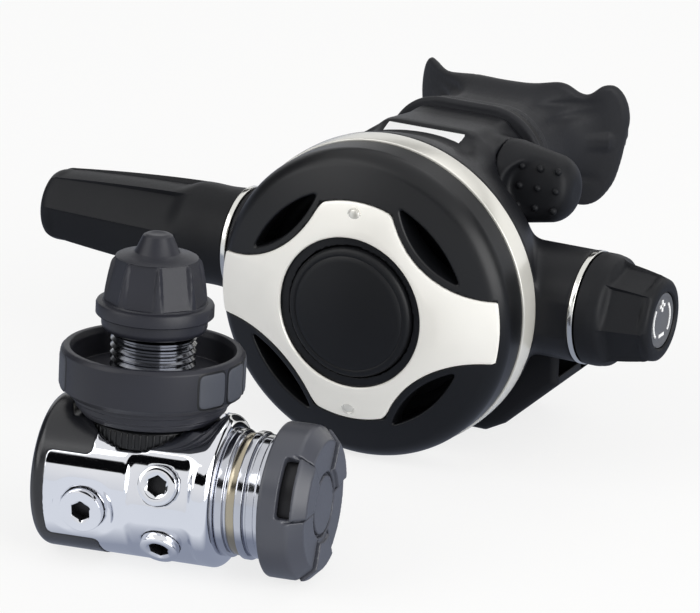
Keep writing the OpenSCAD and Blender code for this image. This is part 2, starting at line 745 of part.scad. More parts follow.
module dive_lever() color("#1f2023") second_place() at_lever() {
    x0 = lever_seam + gap;
    x1 = lever_seam + lever_len;
    end_r = lever_r - 2.6;
    pad_x = x0 + 11.5;
    pad_at = lever_r - 5;
    difference() {
        turn_x(concat([[0, x0], [lever_r, x0], [lever_r, x0 + 4], [(lever_r + end_r) / 2 + 0.4, x0 + 10]],
            arc(end_r - 6, x1 - 6, 6, 20, 90), [[0, x1]]));
        rotate([pad_tilt, 0, 0]) translate([pad_x, 0, 0]) rotate([90, 0, 0]) {
            translate([0, 0, pad_at]) cylinder(r = 8.4, h = 9);
            translate([0, 0, pad_at + 0.8]) cylinder(r = 9.6, h = 9);
        }
        bar_x(x0 - 1, x0 + 5, shaft_r + snug);
    }
    rotate([pad_tilt, 0, 0]) translate([pad_x, 0, 0]) rotate([90, 0, 0])
        for (i = [-1:1], k = [-1:1]) translate([i * dot_pitch, k * dot_pitch, pad_at - 0.2])
            cylinder(r = 0.9, h = 0.7);
}

// Flap in the airway, on the lever's shaft.
module airway_vane() color("#d7d2c4") second_place() at_lever() {
    bar_x(-13, lever_seam + gap + 4.6, shaft_r);
    difference() {
        translate([-13, -7.5, -0.7]) cube([26, 15, 1.4]);
        translate([-7, 5, -2]) cylinder(r = 1.4, h = 4);
        translate([7, 5, -2]) cylinder(r = 1.4, h = 4);
    }
}

// ---- first stage body ----

module at_port(x, a) translate([x, 0, 0]) rotate([a, 0, 0]) children();
module low_ports() for (a = [low_upper, -low_upper, low_lower, -low_lower]) at_port(low_x, a) children();
module high_ports() for (a = [high_angle, -high_angle]) at_port(high_x, a) children();

// The space that the rubber end cover fills: an end wall, a rim, a tab on top and one below.
module cover_space(outer, grow = 0) intersection() {
    difference() {
        bar_x(-body_left, 0, outer);
        bar_x(-body_left + end_wall - grow, 1, body_r - end_cover_t - grow);
    }
    union() {
        bar_x(-body_left - 1, -body_left + 4.4 + grow, outer + 1);
        pull_x(-body_left, high_x + 1.5 + grow)
            polygon([[0, 0], [-52, 30 - grow], [-52, 60], [52, 60], [52, 30 - grow]]);
        pull_x(-body_left, high_x + 3.2 + grow)
            polygon([[0, 0], [-60 - grow, -50], [-60 - grow, -60], [60 + grow, -60], [60 + grow, -50]]);
    }
}

// Room for the handwheel to turn in.
module wheel_space() translate([0, 0, swivel_floor - gap]) cylinder(r = wheel_r - 1, h = rim_height);

module first_stage_body() color("#d5d8dc") first_place() difference() {
    union() {
        bar_x(-body_left + end_wall + snug, body_right, body_r);
        cylinder(r = boss_r, h = base_bottom);
    }
    cover_space(body_r + 1, snug);
    translate([0, 0, base_bottom]) cylinder(r = boss_r + snug, h = 30);
    wheel_space();
    cylinder(r = stud_r + snug, h = 30);
    bar_x(-body_left, crown_x + 3, chamber_r);
    bar_x(0, crown_x + 5, chamber_r - 2);
    bar_x(crown_x + 4, diaphragm_x + 1, chamber_r + 1);
    bar_x(diaphragm_x, body_right + 1, neck_bore + 3.25);
    pipe_x(body_right - 4.6, body_right - 4, body_r + 1, body_r - 0.5);
    low_ports() {
        translate([0, 0, 9]) cylinder(r = low_thread_r, h = 20);
        translate([0, 0, spot_face]) cylinder(r = 8.9, h = 9);
        translate([0, 0, spot_face - 0.8]) cylinder(r = low_thread_r + 0.5, h = 9);
    }
    high_ports() {
        translate([0, 0, 8]) cylinder(r = high_thread_r, h = 20);
        translate([0, 0, spot_face]) cylinder(r = 8.9, h = 9);
        translate([0, 0, spot_face - 0.8]) cylinder(r = high_thread_r + 0.5, h = 9);
    }
}

module end_cover() color("#26282c") first_place() difference() {
    cover_space(body_r);
    translate([0, 0, base_bottom]) cylinder(r = boss_r + gap, h = 30);
    wheel_space();
}

module plug(thread_r, head_r, z0) difference() {
    union() {
        translate([0, 0, z0]) cylinder(r = thread_r - snug, h = spot_face - z0);
        translate([0, 0, spot_face + snug]) cylinder(r = head_r, h = plug_face - spot_face - snug - 0.5);
        translate([0, 0, plug_face - 0.5]) cylinder(r1 = head_r, r2 = head_r - 0.5, h = 0.5, $fn = 64);
        translate([0, 0, spot_face - 1]) cylinder(r = thread_r - snug, h = 2);
    }
    translate([0, 0, plug_face]) hex_socket(2.9, 3.4);
}

module low_plugs() color("#e2e2e0") first_place() low_ports() plug(low_thread_r, low_plug_r, 14);
module high_plugs() color("#e2e2e0") first_place() high_ports() plug(high_thread_r, high_plug_r, 13);

module seal(r) translate([0, 0, spot_face - 0.3]) rotate_extrude() translate([r, 0])
    circle(r = 0.22, $fn = 24);
module port_o_rings() color("#141414") first_place() {
    low_ports() seal(low_thread_r + 0.24);
    high_ports() seal(high_thread_r + 0.24);
}

// ---- first stage insides ----

module seat_crown() color("#c8b070") first_place() pipe_x(crown_x, crown_x + 2.9, chamber_r - snug, 2.2);

module balance_plug() color("#c8b070") first_place() difference() {
    bar_x(-body_left + end_wall + 0.1, high_x - 7, chamber_r - snug);
    bar_x(high_x - 11, high_x, poppet_r + run);
}

module seat_poppet() color("#e8e4d8") first_place() {
    bar_x(high_x - 9.5, 0, poppet_r);
    bar_x(crown_x - 2.6, crown_x - 0.1, 5.2);
    bar_x(crown_x - 1, diaphragm_x - 0.1, 1.2);
}

module seat_poppet_spring() color("silver") first_place() translate([high_x - 6.9, 0, 0]) rotate([0, 90, 0])
    coil(crown_x - 2.7 - high_x + 6.9, 4.1, 0.55, 6);

module main_diaphragm() color("#2b2d31") first_place()
    bar_x(diaphragm_x + snug, diaphragm_x + 1, neck_bore + 3);

module lifter_pad() color("silver") first_place() turn_x([
    [0, diaphragm_x + 1.15], [neck_bore - 1, diaphragm_x + 1.15], [neck_bore - 1, diaphragm_x + 3],
        [5, diaphragm_x + 3.6],
    [0, diaphragm_x + 3.6]
]);

module neck_ring() color("#cfd2d6") first_place() turn_x([
    [neck_bore, diaphragm_x + 1.1], [neck_bore + 3.2, diaphragm_x + 1.1],
        [neck_bore + 3.2, body_right + snug],
    [neck_r1 - 0.4, body_right + snug], [neck_r1, body_right + 0.5], [neck_r1, body_right + 2.3],
        [neck_r1 - 1.2, body_right + 2.6],
    [neck_r1 - 1.2, body_right + 3.2], [neck_r1 - 0.9, body_right + 3.2], [neck_r1 - 0.9, body_right + 5.7],
    [neck_r1 - 0.1, body_right + 5.9], [neck_r1, body_right + 6.1], [neck_r1, body_right + 7.8],
        [neck_r1 - 1.3, body_right + 8.1],
    [neck_r1 - 1.3, body_right + 8.8], [neck_r1 - 0.7, body_right + 8.8], [neck_r1 - 0.7, body_right + 11],
    [neck_r1 - 0.3, body_right + 11.1], [neck_r1 - 0.3, body_right + 12.2],
        [neck_r1 - 1, body_right + 12.2],
    [neck_r1 - 1, cap_x - snug], [neck_bore + 3.2, cap_x - snug], [neck_bore + 3.2, cap_x + 5.8],
        [neck_bore, cap_x + 5.8]
]);

module main_spring() color("silver") first_place() translate([diaphragm_x + 3.2, 0, 0]) rotate([0, 90, 0])
    coil(cap_x - 1.2 - diaphragm_x - 3.3, neck_bore - 3, 1.3, 5);

module spring_adjuster() color("#c8b070") first_place() difference() {
    bar_x(cap_x - 1.1, cap_x + 3, neck_bore - snug);
    bar_x(cap_x - 2, cap_x + 4, 5.5, $fn = 6);
}

module dry_diaphragm() color("#2b2d31") first_place() bar_x(cap_x + 5.85, cap_x + 6.75, neck_bore + 3.1);

module end_cap() color("#33353a") first_place() difference() {
    turn_x([
        [0, cap_x + 6.8], [neck_bore + 3.25, cap_x + 6.8], [neck_bore + 3.25, cap_x],
            [body_r - 0.6, cap_x], [body_r, cap_x + 0.6],
        [body_r, cap_x + cap_w - 3.3], [body_r - 3.3, cap_x + cap_w], [8.4, cap_x + cap_w],
            [8, cap_x + cap_w - 0.6],
        [0, cap_x + cap_w - 0.6]
    ]);
    turn_x([
        [insert_r0 - snug, cap_x + 4.9], [insert_r1 + snug, cap_x + 4.9],
            [insert_r1 + snug, cap_x + 9.1], [insert_r0 - snug, cap_x + 9.1]
    ]);
    for (k = [0:2]) rotate([63 + 120 * k, 0, 0]) intersection() {
        pipe_x(cap_x + 5, cap_x + 9, body_r + 1, insert_r1);
        pull_x(cap_x, cap_x + cap_w) polygon([[0, 0], [-20, 45], [20, 45]]);
    }
}

module cap_insert() color("silver") first_place() pipe_x(cap_x + 5, cap_x + 9, insert_r1, insert_r0);

// ---- DIN connection ----

module din_stud() color("#d5d8dc") first_place() difference() {
    union() {
        translate([0, 0, chamber_r + 0.2]) cylinder(r = stud_r, h = din_top + 1 - chamber_r);
        translate([0, 0, din_top + 0.3]) cylinder(r = stud_r + 2.4, h = 2.6);
    }
    cylinder(r = filter_r + snug, h = din_top + 9);
    translate([0, 0, din_top + 1.9]) rotate_extrude() translate([filter_r + 3, 0]) square([2.4, 3]);
}

module din_filter() color("#b08d57") first_place() translate([0, 0, din_top - 3.5])
    cylinder(r = filter_r, h = 5.6);

module din_o_ring() color("#141414") first_place() translate([0, 0, din_top + 2.95])
    rotate_extrude() translate([filter_r + 4.2, 0]) circle(r = 1, $fn = 24);

// Points of the thread's outline, as grooves a pitch apart.
function thread_points(z0, turns) = [for (i = [0:turns - 1]) let (z = z0 + i * din_pitch)
    each [[din_r, z + din_pitch * 0.15], [din_r - 0.9, z + din_pitch * 0.5],
        [din_r, z + din_pitch * 0.85]]];

module din_thread() color("#d5d8dc") first_place() rotate_extrude() polygon(concat(
    [[stud_r + run, swivel_floor], [din_r + 2.5, swivel_floor], [din_r + 2.5, swivel_floor + 3.5],
        [din_r, swivel_floor + 3.5]],
    thread_points(cup_floor + 1, floor((shield_bottom - cup_floor) / din_pitch)),
    [[din_r, din_top - 1], [din_r - 1, din_top], [stud_r + run, din_top]]
));

module base_ring() color("#232428") first_place()
    pipe_z(base_bottom + snug, base_top, boss_r - 0.2, stud_r + snug);

module handwheel() color("#33353b") first_place() rotate_extrude() polygon([
    [din_r + snug, swivel_floor + 3.6], [din_r + 2.55, swivel_floor + 3.6],
        [din_r + 2.55, swivel_floor + 0.2],
    [wheel_r - 5.9, swivel_floor + 0.2], [wheel_r - 3.3, swivel_floor + 3.2], [wheel_r - 3.3, wheel_bottom],
    [wheel_r - 2.2, wheel_bottom], [wheel_r - 0.4, wheel_bottom + 1.8], [wheel_r - 0.4, wheel_top - 1],
    [wheel_r - 1.2, wheel_top], [wheel_r - 2.6, wheel_top], [wheel_r - 3.3, wheel_top - 1.5],
    [wheel_r - 3.8, cup_floor], [din_r + snug, cup_floor]
]);

module wheel_grips() color("#6d7178") first_place() for (k = [0:wheel_pads - 1])
    rotate([0, 0, -90 + 60 + k * 240 / (wheel_pads - 1)]) intersection() {
        pipe_z(wheel_bottom + 2, wheel_top - 1.4, wheel_r, wheel_r - 0.4 + snug);
        translate([wheel_r - 2, 0, wheel_bottom]) translate([0, -pad_w / 2, 0]) cube([4, pad_w, 20]);
    }

module protector_cap() color("#3a3c44") first_place() difference() {
    rotate_extrude() polygon(concat(
        [[din_r + gap, shield_bottom], [din_r + 1, shield_bottom]],
        arc(din_r + 0.7, shield_bottom + 1.95, 1.95, -70, 0),
        [[skirt_r + 0.5, shield_bottom + 4], [skirt_r + 2.1, shield_bottom + 4.4],
            [skirt_r + 2.1, shield_bottom + 7.4],
         [skirt_r + 1.6, shield_bottom + 7.9], [skirt_r + 0.4, shield_bottom + 7.9],
             [skirt_r, shield_bottom + 12]],
        arc(skirt_r - 3.7, shield_top - 8.1, 2.4, 10, 80),
        [[6.3, shield_top - 5.3], [5.2, shield_top - 3.2], [4.4, shield_top - 1],
            [3.6, shield_top - 0.1], [0, shield_top]],
        [[0, shield_top - 8.5], [skirt_r - 7, shield_top - 8.5], [skirt_r - 4.8, din_top + 5.4],
            [din_r + gap, din_top + 4.4]]
    ));
    for (k = [0:7]) rotate([0, 0, k * 45]) translate([skirt_r - 0.6, 0, shield_bottom + 8.3])
        rotate([0, -11, 0]) translate([0, -5, 0]) cube([6, 10, 10.2]);
}

case();
cover_ring();
front_cover();
cover_plate();
plate_screws();
slip_ring();
diaphragm();
valve_barrel();
orifice();
lever_pin();
inlet_fitting();
inlet_ring();
knob_ring();
hose_sleeve();
label_plate();
exhaust_valve();
exhaust_tee();
mouthpiece();
mouthpiece_clamp();
purge_button();
purge_spring();
diaphragm_disc();
demand_lever();
poppet();
poppet_spring();
adjust_spindle();
spindle_o_ring();
adjust_knob();
knob_disc();
dive_lever();
airway_vane();
first_stage_body();
end_cover();
low_plugs();
high_plugs();
port_o_rings();
din_stud();
din_filter();
din_o_ring();
base_ring();
seat_crown();
balance_plug();
main_diaphragm();
neck_ring();
main_spring();
spring_adjuster();
dry_diaphragm();
end_cap();
cap_insert();
seat_poppet();
seat_poppet_spring();
lifter_pad();
handwheel();
wheel_grips();
din_thread();
protector_cap();
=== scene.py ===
# Scuba regulator set: a round second stage, upper right, and a DIN first stage, lower left.
# Sizes are in millimetres in each stage's own frame, and reach the scene in metres.
import json
import math

import bmesh
import bpy
import numpy as np
from mathutils import Matrix, Vector

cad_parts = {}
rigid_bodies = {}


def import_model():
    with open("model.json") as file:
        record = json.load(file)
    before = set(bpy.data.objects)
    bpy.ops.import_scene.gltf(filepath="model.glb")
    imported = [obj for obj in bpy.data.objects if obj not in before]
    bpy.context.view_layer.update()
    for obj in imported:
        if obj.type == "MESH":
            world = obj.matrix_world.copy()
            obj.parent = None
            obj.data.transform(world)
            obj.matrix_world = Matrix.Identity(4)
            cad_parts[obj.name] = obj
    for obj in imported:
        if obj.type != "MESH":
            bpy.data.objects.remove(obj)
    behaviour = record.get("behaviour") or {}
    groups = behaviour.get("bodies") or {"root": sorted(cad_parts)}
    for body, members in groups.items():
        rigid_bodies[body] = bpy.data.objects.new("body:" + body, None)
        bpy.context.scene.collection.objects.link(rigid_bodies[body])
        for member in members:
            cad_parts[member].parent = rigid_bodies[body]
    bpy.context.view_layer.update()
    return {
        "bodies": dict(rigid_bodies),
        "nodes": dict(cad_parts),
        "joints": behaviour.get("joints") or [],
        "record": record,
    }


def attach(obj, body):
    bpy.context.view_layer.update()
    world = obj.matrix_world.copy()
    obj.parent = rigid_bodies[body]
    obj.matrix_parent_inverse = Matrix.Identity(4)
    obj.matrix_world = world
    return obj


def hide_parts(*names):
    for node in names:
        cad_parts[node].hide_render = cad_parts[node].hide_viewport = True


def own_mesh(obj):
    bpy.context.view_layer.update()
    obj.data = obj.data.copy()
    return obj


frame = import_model()
nodes = frame["nodes"]
print("frame loaded:", len(nodes), "nodes")

perMetre = 1000
play = 0.05  # the gap between pieces that are assembled and don't move
white = (1, 1, 1, 1)

# Where the two stages sit: the second one's frame is only shifted, the first one's is also turned.
layout = {
    "secondAt": (20.35, 31.0744, 45.5),
    "firstAt": (3.85, -93.2256, 20.8),
    "firstYaw": 9.4,
    "firstLean": -4.0,
    "firstBodies": ("first_stage", "handwheel", "protector_cap"),
}
secondPlace = Matrix.Scale(1 / perMetre, 4) @ Matrix.Translation(layout["secondAt"])
firstPlace = (Matrix.Scale(1 / perMetre, 4) @ Matrix.Translation(layout["firstAt"])
    @ Matrix.Rotation(math.radians(layout["firstYaw"]), 4, "Z")
    @ Matrix.Rotation(math.radians(layout["firstLean"]), 4, "X"))


def placeOf(body):
    return firstPlace if body in layout["firstBodies"] else secondPlace


def linear(hexColour):
    channels = [int(hexColour[i:i + 2], 16) / 255 for i in (1, 3, 5)]
    return [c / 12.92 if c <= 0.04045 else ((c + 0.055) / 1.055) ** 2.4 for c in channels] + [1.0]


def addNode(tree, kind, inputs=None, **settings):
    # A Mix node of colours takes them at inputs 6 and 7 and gives one at output 2.
    node = tree.nodes.new(kind)
    for name, value in settings.items():
        setattr(node, name, value)
    for name, value in (inputs or {}).items():
        if isinstance(value, bpy.types.NodeSocket):
            tree.links.new(value, node.inputs[name])
        else:
            node.inputs[name].default_value = value
    return node


studio = {
    "azimuth": 26.5, "elevation": 19.5, "roll": 1.8, "distance": 1330.0, "lens": 246.2, "sensor": 36.0,
    "clipStart": 0.05, "aim": (20.35, -9.9256, 45.5), "offset": (0.444, 1.917),
    "world": 0.55, "floor": "#f3f3f1", "floorHalf": 6.0, "floorLift": 0.78,
    # Painted shade in the floor's reflection: the colour that metal mirrors of it near the object and away from it, by
    # the depth in metres.
    "near": (-0.108, "#9ba2b3"), "far": (-0.121, "#eff3fa"),
    # What metal mirrors above the floor, by height from the horizon to the zenith.
    "bands": [(0.0, "#eceef2"), (0.40, "#ffffff"), (0.415, "#08080a"), (0.63, "#08080a"), (0.645, "#ffffff"),
        (1.0, "#ffffff")],
    # How far out to the sides the mirrored studio starts and ends to turn dark, and how dark.
    "sides": (0.80, 0.86, 0.06),
    # Each softbox: its place in metres from the aim, its size, and its watts.
    "lights": [((-1.25, -1.25, 1.15), 1.5, 14.0), ((1.7, -0.5, 0.5), 1.6, 36.0), ((0.2, 1.3, 1.3), 1.0, 2.8)],
}


def makeCamera():
    azimuth, elevation, roll = (math.radians(studio[k]) for k in ("azimuth", "elevation", "roll"))
    level = math.cos(elevation)
    towards = Vector((math.sin(azimuth) * level, -math.cos(azimuth) * level, math.sin(elevation)))
    right = Vector((math.cos(azimuth), math.sin(azimuth), 0))
    up = towards.cross(right)
    tiltedRight = right * math.cos(roll) + up * math.sin(roll)
    tiltedUp = up * math.cos(roll) - right * math.sin(roll)
    offRight, offUp = studio["offset"]
    place = Vector(studio["aim"]) + towards * studio["distance"] + tiltedRight * offRight + tiltedUp * offUp
    camera = bpy.data.cameras.new("camera")
    camera.lens, camera.sensor_width, camera.clip_start = studio["lens"], studio["sensor"], studio["clipStart"]
    holder = bpy.data.objects.new("camera", camera)
    turn = Matrix((tiltedRight, tiltedUp, towards)).transposed().to_4x4()
    holder.matrix_world = Matrix.Translation(place / perMetre) @ turn
    bpy.context.scene.collection.objects.link(holder)
    bpy.context.scene.camera = holder


def makeLights():
    aim = Vector(studio["aim"]) / perMetre
    for i, (offset, size, watts) in enumerate(studio["lights"]):
        lamp = bpy.data.lights.new(f"softbox{i}", "AREA")
        lamp.size, lamp.energy = size, watts
        holder = bpy.data.objects.new(f"softbox{i}", lamp)
        holder.location = aim + Vector(offset)
        holder.rotation_euler = Vector(offset).to_track_quat("Z", "Y").to_euler()
        bpy.context.scene.collection.objects.link(holder)


def makeWorld():
    # Glossy rays meet a white studio with a black bar overhead and dark sides, so that metal shows hard bands.
    world = bpy.data.worlds.new("studio")
    world.use_nodes = True
    tree = world.node_tree
    tree.nodes.clear()
    path = addNode(tree, "ShaderNodeLightPath").outputs
    seen = addNode(tree, "ShaderNodeMath", {0: path["Is Camera Ray"], 1: path["Is Transmission Ray"]},
        operation="MAXIMUM")
    coords = addNode(tree, "ShaderNodeTexCoord")
    split = addNode(tree, "ShaderNodeSeparateXYZ", {0: coords.outputs["Generated"]})
    overhead = addNode(tree, "ShaderNodeValToRGB", {"Fac": split.outputs["Z"]})
    stops, bands = overhead.color_ramp.elements, studio["bands"]
    for stop, (position, colour) in ((stops[0], bands[0]), (stops[1], bands[-1])):
        stop.position, stop.color = position, linear(colour)
    for position, colour in bands[1:-1]:
        stops.new(position).color = linear(colour)
    sideways = addNode(tree, "ShaderNodeMath", {0: split.outputs["X"]}, operation="ABSOLUTE")
    start, end, dark = studio["sides"]
    sides = addNode(tree, "ShaderNodeMapRange",
        {"Value": sideways.outputs[0], "From Min": start, "From Max": end, "To Min": 1.0, "To Max": dark})
    ramp = addNode(tree, "ShaderNodeVectorMath", {0: overhead.outputs["Color"], "Scale": sides.outputs[0]},
        operation="SCALE")
    diffuse = addNode(tree, "ShaderNodeBackground", {"Color": white, "Strength": studio["world"]})
    glossy = addNode(tree, "ShaderNodeBackground", {"Color": ramp.outputs[0], "Strength": 1.0})
    plain = addNode(tree, "ShaderNodeBackground", {"Color": white, "Strength": 1.0})
    lit = addNode(tree, "ShaderNodeMixShader", {0: path["Is Glossy Ray"], 1: diffuse.outputs[0], 2: glossy.outputs[0]})
    mixed = addNode(tree, "ShaderNodeMixShader", {0: seen.outputs[0], 1: lit.outputs[0], 2: plain.outputs[0]})
    addNode(tree, "ShaderNodeOutputWorld", {"Surface": mixed.outputs[0]})
    bpy.context.scene.world = world
    bpy.context.scene.view_settings.view_transform = "Standard"


def makeFloor():
    half = studio["floorHalf"]
    mesh = bpy.data.meshes.new("floor")
    mesh.from_pydata([(-half, -half, 0), (half, -half, 0), (half, half, 0), (-half, half, 0)], [], [(0, 1, 2, 3)])
    floor = bpy.data.objects.new("floor", mesh)
    bpy.context.scene.collection.objects.link(floor)
    material = bpy.data.materials.new("studioPaper")
    material.use_nodes = True
    tree = material.node_tree
    tree.nodes.clear()
    path = addNode(tree, "ShaderNodeLightPath").outputs
    share = addNode(tree, "ShaderNodeMath", {0: path["Is Camera Ray"], 1: studio["floorLift"]}, operation="MULTIPLY")
    paper = addNode(tree, "ShaderNodeBsdfDiffuse", {"Color": linear(studio["floor"])})
    glow = addNode(tree, "ShaderNodeEmission", {"Color": white, "Strength": 1.0})
    lifted = addNode(tree, "ShaderNodeMixShader", {0: share.outputs[0], 1: paper.outputs[0], 2: glow.outputs[0]})
    # In metal the paper shows painted shade: its mirrored colour darkens towards the object, standing in for the
    # object's shadow on it.
    (near, nearColour), (far, farColour) = studio["near"], studio["far"]
    coords = addNode(tree, "ShaderNodeTexCoord")
    split = addNode(tree, "ShaderNodeSeparateXYZ", {0: coords.outputs["Object"]})
    away = addNode(tree, "ShaderNodeMapRange",
        {"Value": split.outputs["Y"], "From Min": near, "From Max": far, "To Min": 0.0, "To Max": 1.0})
    tone = addNode(tree, "ShaderNodeMix", {0: away.outputs[0], 6: linear(nearColour), 7: linear(farColour)},
        data_type="RGBA")
    mirrored = addNode(tree, "ShaderNodeEmission", {"Color": tone.outputs[2], "Strength": 1.0})
    mixed = addNode(tree, "ShaderNodeMixShader",
        {0: path["Is Glossy Ray"], 1: lifted.outputs[0], 2: mirrored.outputs[0]})
    addNode(tree, "ShaderNodeOutputMaterial", {"Surface": mixed.outputs[0]})
    mesh.materials.append(material)


makeCamera()
makeLights()
makeWorld()
makeFloor()
print("studio ready")

# Real finishes. Grain is the size in mm of a surface's mottling, depth its bump in mm, and spread how far its
# roughness varies. Grain under half a millimetre would not show, so it is drawn as coarse as it needs to be.
usualFinish = {"spread": 0.06, "depth": 0.0, "metal": 0.0, "sheen": 0.0, "specular": 0.5}
finishes = {
    # Glass-filled nylon, moulded in a spark-eroded tool: near black with a broad satin gloss.
    "mouldedNylon": {"tones": ("#0f1013", "#15161a"), "roughness": 0.44, "spread": 0.08, "grain": 0.7, "depth": 0.02,
        "specular": 0.24},
    # The same nylon from a finer tool, as on the cover: smoother, so its highlights are tighter.
    "satinNylon": {"tones": ("#0d0e10", "#121316"), "roughness": 0.36, "spread": 0.05, "grain": 0.6, "depth": 0.008,
        "specular": 0.32},
    # Thermoplastic rubber over the sleeve, knob and lever: dull, with almost no highlight.
    "softRubber": {"tones": ("#121316", "#18191c"), "roughness": 0.5, "spread": 0.08, "grain": 0.8, "depth": 0.02,
        "specular": 0.2},
    # The end cover's rubber is pressed in a polished tool, so it shines.
    "glossRubber": {"tones": ("#15161a", "#1b1c20"), "roughness": 0.24, "spread": 0.05, "grain": 0.9, "depth": 0.006},
    # Liquid silicone: dark grey, matt, with a faint velvet edge.
    "silicone": {"tones": ("#15161a", "#1e1f23"), "roughness": 0.6, "spread": 0.12, "grain": 1.1, "depth": 0.07,
        "sheen": 0.06, "specular": 0.28},
    # Glass-filled nylon with a blue grey tint, as on the handwheel and protector cap.
    "wheelNylon": {"tones": ("#1c1d24", "#24252d"), "roughness": 0.42, "spread": 0.08, "grain": 0.7, "depth": 0.02,
        "specular": 0.35},
    # The pads set into the handwheel: mid grey and matt.
    "gripRubber": {"tones": ("#3b3e46", "#454850"), "roughness": 0.55, "grain": 0.8, "depth": 0.02, "specular": 0.35},
    # Stainless steel, mechanically polished: bright, slightly warm, with hairlines.
    "polishedSteel": {"tones": ("#d9d8d2", "#e4e3de"), "roughness": 0.16, "grain": 1.6, "metal": 1.0},
    # The same steel turned and lightly polished, as on the ring round the cover: light, with soft reflections.
    "satinSteel": {"tones": ("#dad8d0", "#e2e0d9"), "roughness": 0.24, "spread": 0.01, "grain": 1.4, "metal": 0.45},
    # The same steel brushed to a fine satin, as on the plate: near white with soft broad reflections.
    "brushedPlate": {"tones": ("#eeece5", "#f5f3ed"), "roughness": 0.3, "spread": 0.05, "grain": 1.2, "metal": 0.22},
    # Soft elastomer moulded over the purge button, a shade darker than the cover round it.
    "buttonRubber": {"tones": ("#0f1012", "#131417"), "roughness": 0.45, "grain": 0.7, "depth": 0.01, "specular": 0.28},
    # Aluminium badge, bead blasted and anodised: an even mid grey.
    "greyBadge": {"tones": ("#57585b", "#646568"), "roughness": 0.38, "grain": 0.9, "metal": 0.3},
    # Champagne-coloured anodised band in the neck's groove: the one warm metal in sight.
    "bronzeBand": {"tones": ("#a39a86", "#b5ac98"), "roughness": 0.22, "spread": 0.05, "grain": 1.2, "metal": 1.0},
    # Black anodised aluminium, bead blasted, as on the end cap: it catches light as a dark satin grey.
    "blackAnodised": {"tones": ("#3b3d45", "#464850"), "roughness": 0.34, "grain": 0.7, "depth": 0.006},
    # Painted shade: a dull near-black steel that lines the plugs' chrome sockets and stands for the chrome insert
    # behind the end cap's windows, which lies in shade and mirrors dark.
    "paintedShadeSteel": {"tones": ("#1c1c1e", "#2a2a2d"), "roughness": 0.4, "spread": 0.08, "grain": 0.8, "metal": 0.6},
    # Chrome on the thread with painted shade and reflection: its base colour is darker than on the body, for the shade
    # under the cap and wheel.
    "paintedShadeThreadChrome": {"tones": ("#75777d", "#85878d"), "roughness": 0.16, "spread": 0.04, "grain": 1.5, "metal": 1.0},
    # Chrome over the neck's turned rings: the tool marks below soften its reflections.
    "turnedChrome": {"tones": ("#b7b9c0", "#c6c8cf"), "roughness": 0.11, "spread": 0.03, "grain": 1.8, "metal": 1.0},
    # Chrome over polished brass: a mirror with hard bands.
    "chrome": {"tones": ("#d9dbe0", "#e2e3e8"), "roughness": 0.05, "spread": 0.02, "grain": 2.5, "metal": 1.0},
    # Bare turned brass on inner parts: yellow, with a soft shine.
    "brass": {"tones": ("#b08a55", "#bd9862"), "roughness": 0.25, "spread": 0.08, "grain": 1.2, "metal": 1.0},
    # Drawn stainless wire: light grey, a little dull.
    "springSteel": {"tones": ("#b4b6b8", "#c2c4c6"), "roughness": 0.3, "grain": 1.0, "metal": 1.0},
    # Bronze powder pressed into a porous filter: brown and rough, with no clear reflection.
    "sinteredBronze": {"tones": ("#8f6f48", "#a98759"), "roughness": 0.6, "spread": 0.1, "grain": 0.4, "depth": 0.03,
        "metal": 1.0},
    # Machined acetal on the poppets: an ivory white with a waxy gloss.
    "acetal": {"tones": ("#d8d4c8", "#e2dfd4"), "roughness": 0.4, "spread": 0.05, "grain": 1.0, "depth": 0.01},
    # Polyester film, as on the hood's label and the knob's marks: plain white with a slight gloss.
    "labelFilm": {"tones": ("#e8e8e8", "#f0f0f0"), "roughness": 0.3, "spread": 0.04, "grain": 1.0},
    # Nitrile rubber on the seals and the mouthpiece's clamp: black and dull.
    "nitrile": {"tones": ("#0e0e10", "#141416"), "roughness": 0.45, "spread": 0.05, "grain": 0.8, "depth": 0.01,
        "specular": 0.3},
}


def makeFinish(name):
    f = {**usualFinish, **finishes[name]}
    dark, light = f["tones"]
    material = bpy.data.materials.new(name)
    material.use_nodes = True
    tree = material.node_tree
    tree.nodes.clear()
    here = addNode(tree, "ShaderNodeTexCoord").outputs["Object"]
    fine = addNode(tree, "ShaderNodeTexNoise",
        {"Vector": here, "Scale": perMetre / f["grain"], "Detail": 3.0, "Roughness": 0.6})
    broad = addNode(tree, "ShaderNodeTexNoise", {"Vector": here, "Scale": 60.0, "Detail": 2.0})
    colour = addNode(tree, "ShaderNodeMix", {0: broad.outputs["Fac"], 6: linear(dark), 7: linear(light)},
        data_type="RGBA")
    rough = addNode(tree, "ShaderNodeMapRange", {"Value": fine.outputs["Fac"], "From Min": 0.25, "From Max": 0.75,
        "To Min": f["roughness"] - f["spread"] / 2, "To Max": f["roughness"] + f["spread"] / 2})
    shader = addNode(tree, "ShaderNodeBsdfPrincipled", {"Base Color": colour.outputs[2], "Roughness": rough.outputs[0],
        "Metallic": f["metal"], "Sheen Weight": f["sheen"], "Specular IOR Level": f["specular"]})
    if f["depth"]:
        bump = addNode(tree, "ShaderNodeBump",
            {"Height": fine.outputs["Fac"], "Strength": 0.5, "Distance": f["depth"] / perMetre})
        tree.links.new(bump.outputs[0], shader.inputs["Normal"])
    addNode(tree, "ShaderNodeOutputMaterial", {"Surface": shader.outputs[0]})
    return material


materials = {name: makeFinish(name) for name in finishes}


